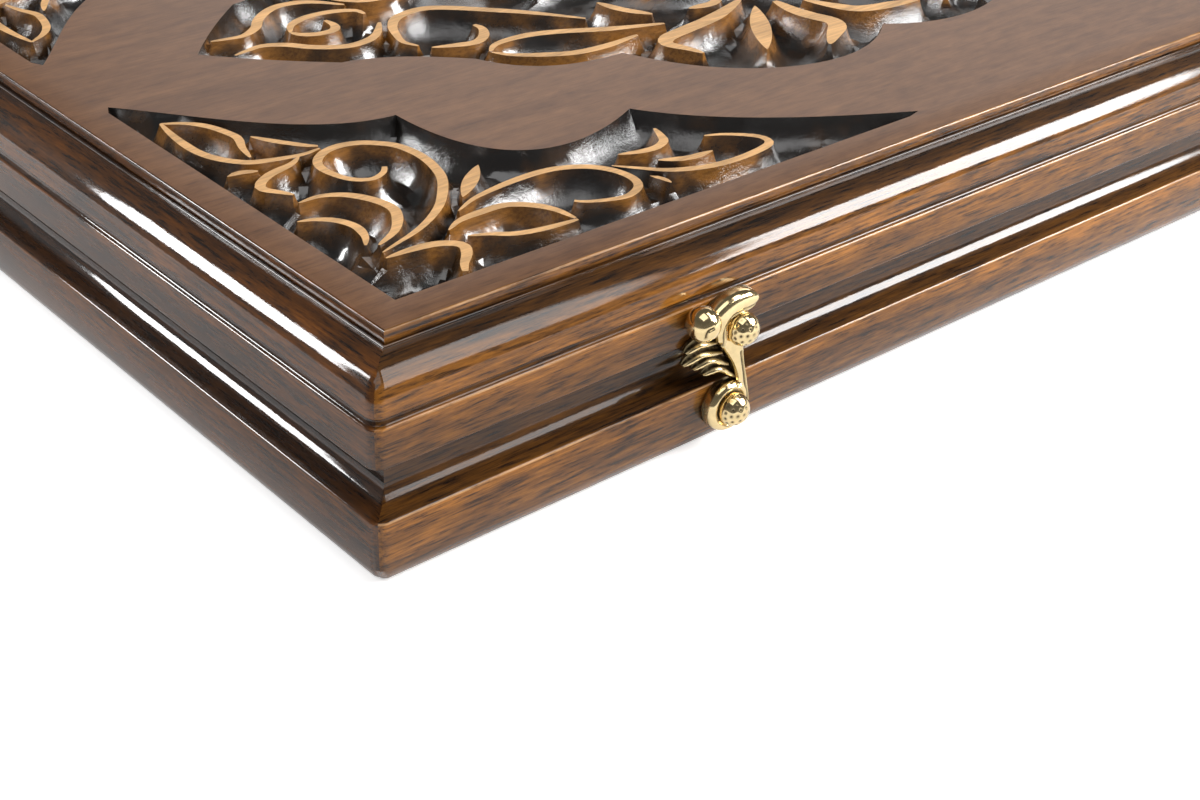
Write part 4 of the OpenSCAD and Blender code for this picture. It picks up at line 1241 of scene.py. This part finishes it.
def domed_head(name, x, z, reach):
    """A domed head with punched dimples on a shank that is driven into the rail."""
    s = bpy.context.scene.latch_sizes
    back, middle = s.dome_back / MM, s.dome_centre / MM
    shank, r = s.shank_radius / MM, s.dome_radius / MM
    piece, p = sphere(r, 80, 50)
    piece.name = name
    deep = dimples(p / r) * np.clip((p[:, 2] + 0.8) / 0.6, 0, 1)
    p *= (1 - DIMPLE_DEPTH * deep)[:, None]
    p[:, 2] = DOME_FLATTENED * p[:, 2] + middle
    move_to(piece, at_latch(p, x, z))
    tell_recess(piece, np.clip(deep * 1.3, 0, 1))
    edit(piece)
    bpy.ops.mesh.bisect(plane_co=(x * MM, (FRONT - back) * MM, z * MM), plane_no=(0, 1, 0),
                        use_fill=True, clear_outer=True)
    flat_r = math.sqrt(r ** 2 - ((middle - back) / DOME_FLATTENED) ** 2)
    bpy.ops.mesh.inset(thickness=(flat_r - shank) * MM)
    bpy.ops.mesh.extrude_region_move(TRANSFORM_OT_translate={"value": (0, (back + reach) * MM, 0)})
    bpy.ops.object.mode_set(mode="OBJECT")
    return piece


def joined(name, pieces):
    """One piece made of several, settled and named."""
    deselect()
    for piece in pieces:
        piece.select_set(True)
    bpy.context.view_layer.objects.active = pieces[0]
    if len(pieces) > 1:
        bpy.ops.object.join()
    pieces[0].name = name
    return settle(pieces[0], CAST_SMOOTH)


class CASE_OT_hooks(bpy.types.Operator):
    """Cast the two hooks and their domed pins, and give the hinges their brass"""
    bl_idname = "case.hooks"
    bl_label = "Hooks and Pins"

    def execute(self, context):
        brass = brass_finish()
        for name, x in (("left_hook", -LATCH_X), ("right_hook", LATCH_X)):
            parts = [hook_plate(x), hook_ball(x)] + [hook_leaf(*leaf, x) for leaf in LEAVES]
            dress(joined(name + "_cast", parts), name, [name], "brass", brass)
            head = joined(name + "_pivot_pin", [domed_head("pin", x, PIVOT_Z, PIVOT_REACH)])
            dress(head, "base", [name + "_screw"], "brass", brass)
        pins = [domed_head("pin", x + CATCH[0], PIVOT_Z + CATCH[1], CATCH_REACH)
                for x in (-LATCH_X, LATCH_X)]
        dress(joined("domed_catch_pins", pins), "lid", ["catch_pins"], "brass", brass)
        for name in ("left_hinge_base_leaf", "left_hinge_lid_leaf", "left_hinge_pin",
                     "right_hinge_base_leaf", "right_hinge_lid_leaf", "right_hinge_pin",
                     "hinge_base_screws", "hinge_lid_screws"):
            frame["nodes"][name].material_slots[0].material = brass
        return {"FINISHED"}


class CASE_OT_inside(bpy.types.Operator):
    """Finish the playing fields, the bottom board, the checkers and the dice"""
    bl_idname = "case.inside"
    bl_label = "Fields and Pieces"

    def execute(self, context):
        tones = context.scene.case_colours
        field = fine_wood_finish("playing_field_veneer", tones.field, "X", 4.4, 0.7)
        dark_point = fine_wood_finish("dark_point_veneer", tones.dark_wood, "Y", 6.1)
        light_point = fine_wood_finish("light_point_veneer", tones.light_wood, "Y", 8.3, 0.8)
        dark_wood = fine_wood_finish("turned_dark_wood", tones.dark_wood, "X", 9.2, 0.5, 0.8)
        light_wood = fine_wood_finish("turned_light_wood", tones.light_wood, "X", 2.9, 0.78, 0.8)
        for finish, names in (
                (board_finish(), ("base_bottom_board",)),
                (field, ("base_field_board", "lid_field_board")),
                (dark_point, ("base_dark_points", "lid_dark_points")),
                (light_point, ("base_light_points", "lid_light_points")),
                (dark_wood, ("dark_checkers",)), (light_wood, ("light_checkers",)),
                (ivory_finish(), ("dice",))):
            for name in names:
                frame["nodes"][name].material_slots[0].material = finish
        return {"FINISHED"}


# ---------------------------------------------------------------- stage

FLOOR_GLOW = 0.06  # as seen directly and mirrored
FLOOR_SEEN_GLOW = 0.46  # as seen directly, besides
SKY = ((0.0, 0.20), (0.6, 0.12))  # height and grey tone of the room
LIT_PLACE = Vector((-0.15, -0.05, 0.04))  # the lamps face this point
LAMPS = (
    # name, direction from the lit place, long side's direction, distance, width, length, radiance
    ("left_box", (-0.55, 0.69, 0.44), (0.64, 0, 0.77), 1.6, 0.36, 0.58, 25),
    ("side_box", (0.67, -0.54, 0.46), (0.12, 0.68, 0.73), 1.6, 0.54, 0.86, 23),
    ("front_box", (0.42, -0.45, 0.79), (0, 0.88, 0.47), 1.6, 0.34, 1.45, 5.6),
    ("back_panel", (0.68, 0.66, 0.33), (0, 0, 1), 1.6, 1.50, 0.75, 1.2),
    ("overhead", (-0.22, -0.25, 0.94), (0, 1, 0), 2.0, 1.40, 1.40, 1.7))
CAMERA_PLACE = (-0.46667, -0.399945, 0.2284)
CAMERA_YAW, CAMERA_PITCH, CAMERA_ROLL = (math.radians(angle) for angle in (41.23, 31.42, 1.67))
LENS, SENSOR = 58.56, 36  # mm


def white_floor():
    """A wide white floor with a faint glow of its own, so that it stays white in the picture."""
    deselect()
    bpy.ops.mesh.primitive_plane_add(size=12, location=(0, 0, 0))
    floor = bpy.context.object
    floor.name = "floor"
    f = Finish("white_floor")
    rays = f.node("ShaderNodeLightPath").outputs
    mirrored = f.maths("MAXIMUM", rays["Is Glossy Ray"], rays["Is Transmission Ray"])
    seen = f.maths("MAXIMUM", rays["Is Camera Ray"], mirrored)
    glow = f.maths("ADD", f.maths("MULTIPLY", seen, FLOOR_GLOW),
                   f.maths("MULTIPLY", rays["Is Camera Ray"], FLOOR_SEEN_GLOW))
    f.surface(Base_Color=(0.9, 0.9, 0.9), Roughness=0.9, Specular_IOR_Level=0.0,
              Emission_Color=(1, 1, 1), Emission_Strength=glow)
    floor.data.materials.append(f.material)


def studio():
    """The grey room, which is darker overhead."""
    world = bpy.data.worlds.new("studio")
    bpy.context.scene.world = world
    world.use_nodes = True
    tree = world.node_tree
    background = tree.nodes["Background"]
    coordinates = tree.nodes.new("ShaderNodeTexCoord")
    split = tree.nodes.new("ShaderNodeSeparateXYZ")
    ramp = tree.nodes.new("ShaderNodeValToRGB")
    tree.links.new(coordinates.outputs["Generated"], split.inputs[0])
    tree.links.new(split.outputs["Z"], ramp.inputs["Fac"])
    tree.links.new(ramp.outputs["Color"], background.inputs["Color"])
    for element, (height, tone) in zip(ramp.color_ramp.elements, SKY):
        element.position = height
        element.color = (tone, tone, tone, 1)
    background.inputs["Strength"].default_value = 1.0


def lamp(name, direction, along, distance, wide, high, radiance):
    """A softbox that faces the lit place, with its long side turned towards a direction."""
    light = bpy.data.lights.new(name, "AREA")
    light.shape = "RECTANGLE"
    light.size, light.size_y, light.energy = wide, high, radiance * math.pi * wide * high
    holder = bpy.data.objects.new(name, light)
    bpy.context.scene.collection.objects.link(holder)
    direction, along = Vector(direction).normalized(), Vector(along)
    along = (along - direction * along.dot(direction)).normalized()
    holder.location = LIT_PLACE + direction * distance
    axes = Matrix((along.cross(direction), along, direction)).transposed()
    holder.rotation_euler = axes.to_euler()


def camera():
    """The picture's camera, turned by its yaw, pitch and roll."""
    yaw, pitch, roll = CAMERA_YAW, CAMERA_PITCH, CAMERA_ROLL
    ahead = Vector((math.sin(yaw) * math.cos(pitch), math.cos(yaw) * math.cos(pitch),
                    -math.sin(pitch)))
    level = Vector((math.cos(yaw), -math.sin(yaw), 0))
    above = level.cross(ahead)
    right = level * math.cos(roll) + above * math.sin(roll)
    above = above * math.cos(roll) - level * math.sin(roll)
    data = bpy.data.cameras.new("camera")
    data.lens, data.sensor_width = LENS, SENSOR
    data.clip_start, data.clip_end = 0.01, 50
    holder = bpy.data.objects.new("camera", data)
    bpy.context.scene.collection.objects.link(holder)
    axes = Matrix((right, above, -ahead)).transposed().to_4x4()
    holder.matrix_world = Matrix.Translation(CAMERA_PLACE) @ axes
    bpy.context.scene.camera = holder


class CASE_OT_stage(bpy.types.Operator):
    """Set the floor, the studio light and the camera"""
    bl_idname = "case.stage"
    bl_label = "Stage"

    def execute(self, context):
        white_floor()
        studio()
        for row in LAMPS:
            lamp(*row)
        camera()
        context.scene.view_settings.view_transform = "Standard"
        return {"FINISHED"}


class CASE_PT_panel(bpy.types.Panel):
    """Sizes, colours and pieces of the case"""
    bl_idname = "CASE_PT_panel"
    bl_label = "Backgammon Case"
    bl_space_type = "VIEW_3D"
    bl_region_type = "UI"
    bl_category = "Case"

    def draw(self, context):
        for group in (getattr(context.scene, name) for name in GROUPS):
            box = self.layout.box()
            for name in group.__annotations__:
                box.prop(group, name)
        for step in STEPS:
            self.layout.operator(step.bl_idname)


STEPS = (CASE_OT_stage, CASE_OT_rails, CASE_OT_board, CASE_OT_hooks, CASE_OT_inside)
GROUPS = {"moulding_sizes": MouldingSizes, "carving_sizes": CarvingSizes,
          "latch_sizes": LatchSizes, "case_colours": CaseColours}


def register():
    for name, group in GROUPS.items():
        bpy.utils.register_class(group)
        setattr(bpy.types.Scene, name, bpy.props.PointerProperty(type=group))
    for cls in (*STEPS, CASE_PT_panel):
        bpy.utils.register_class(cls)


def unregister():
    for cls in (CASE_PT_panel, *reversed(STEPS)):
        bpy.utils.unregister_class(cls)
    for name, group in GROUPS.items():
        delattr(bpy.types.Scene, name)
        bpy.utils.unregister_class(group)


def main():
    register()
    for step in STEPS:
        area, name = step.bl_idname.split(".")
        getattr(getattr(bpy.ops, area), name)()


if __name__ == "__main__":
    main()
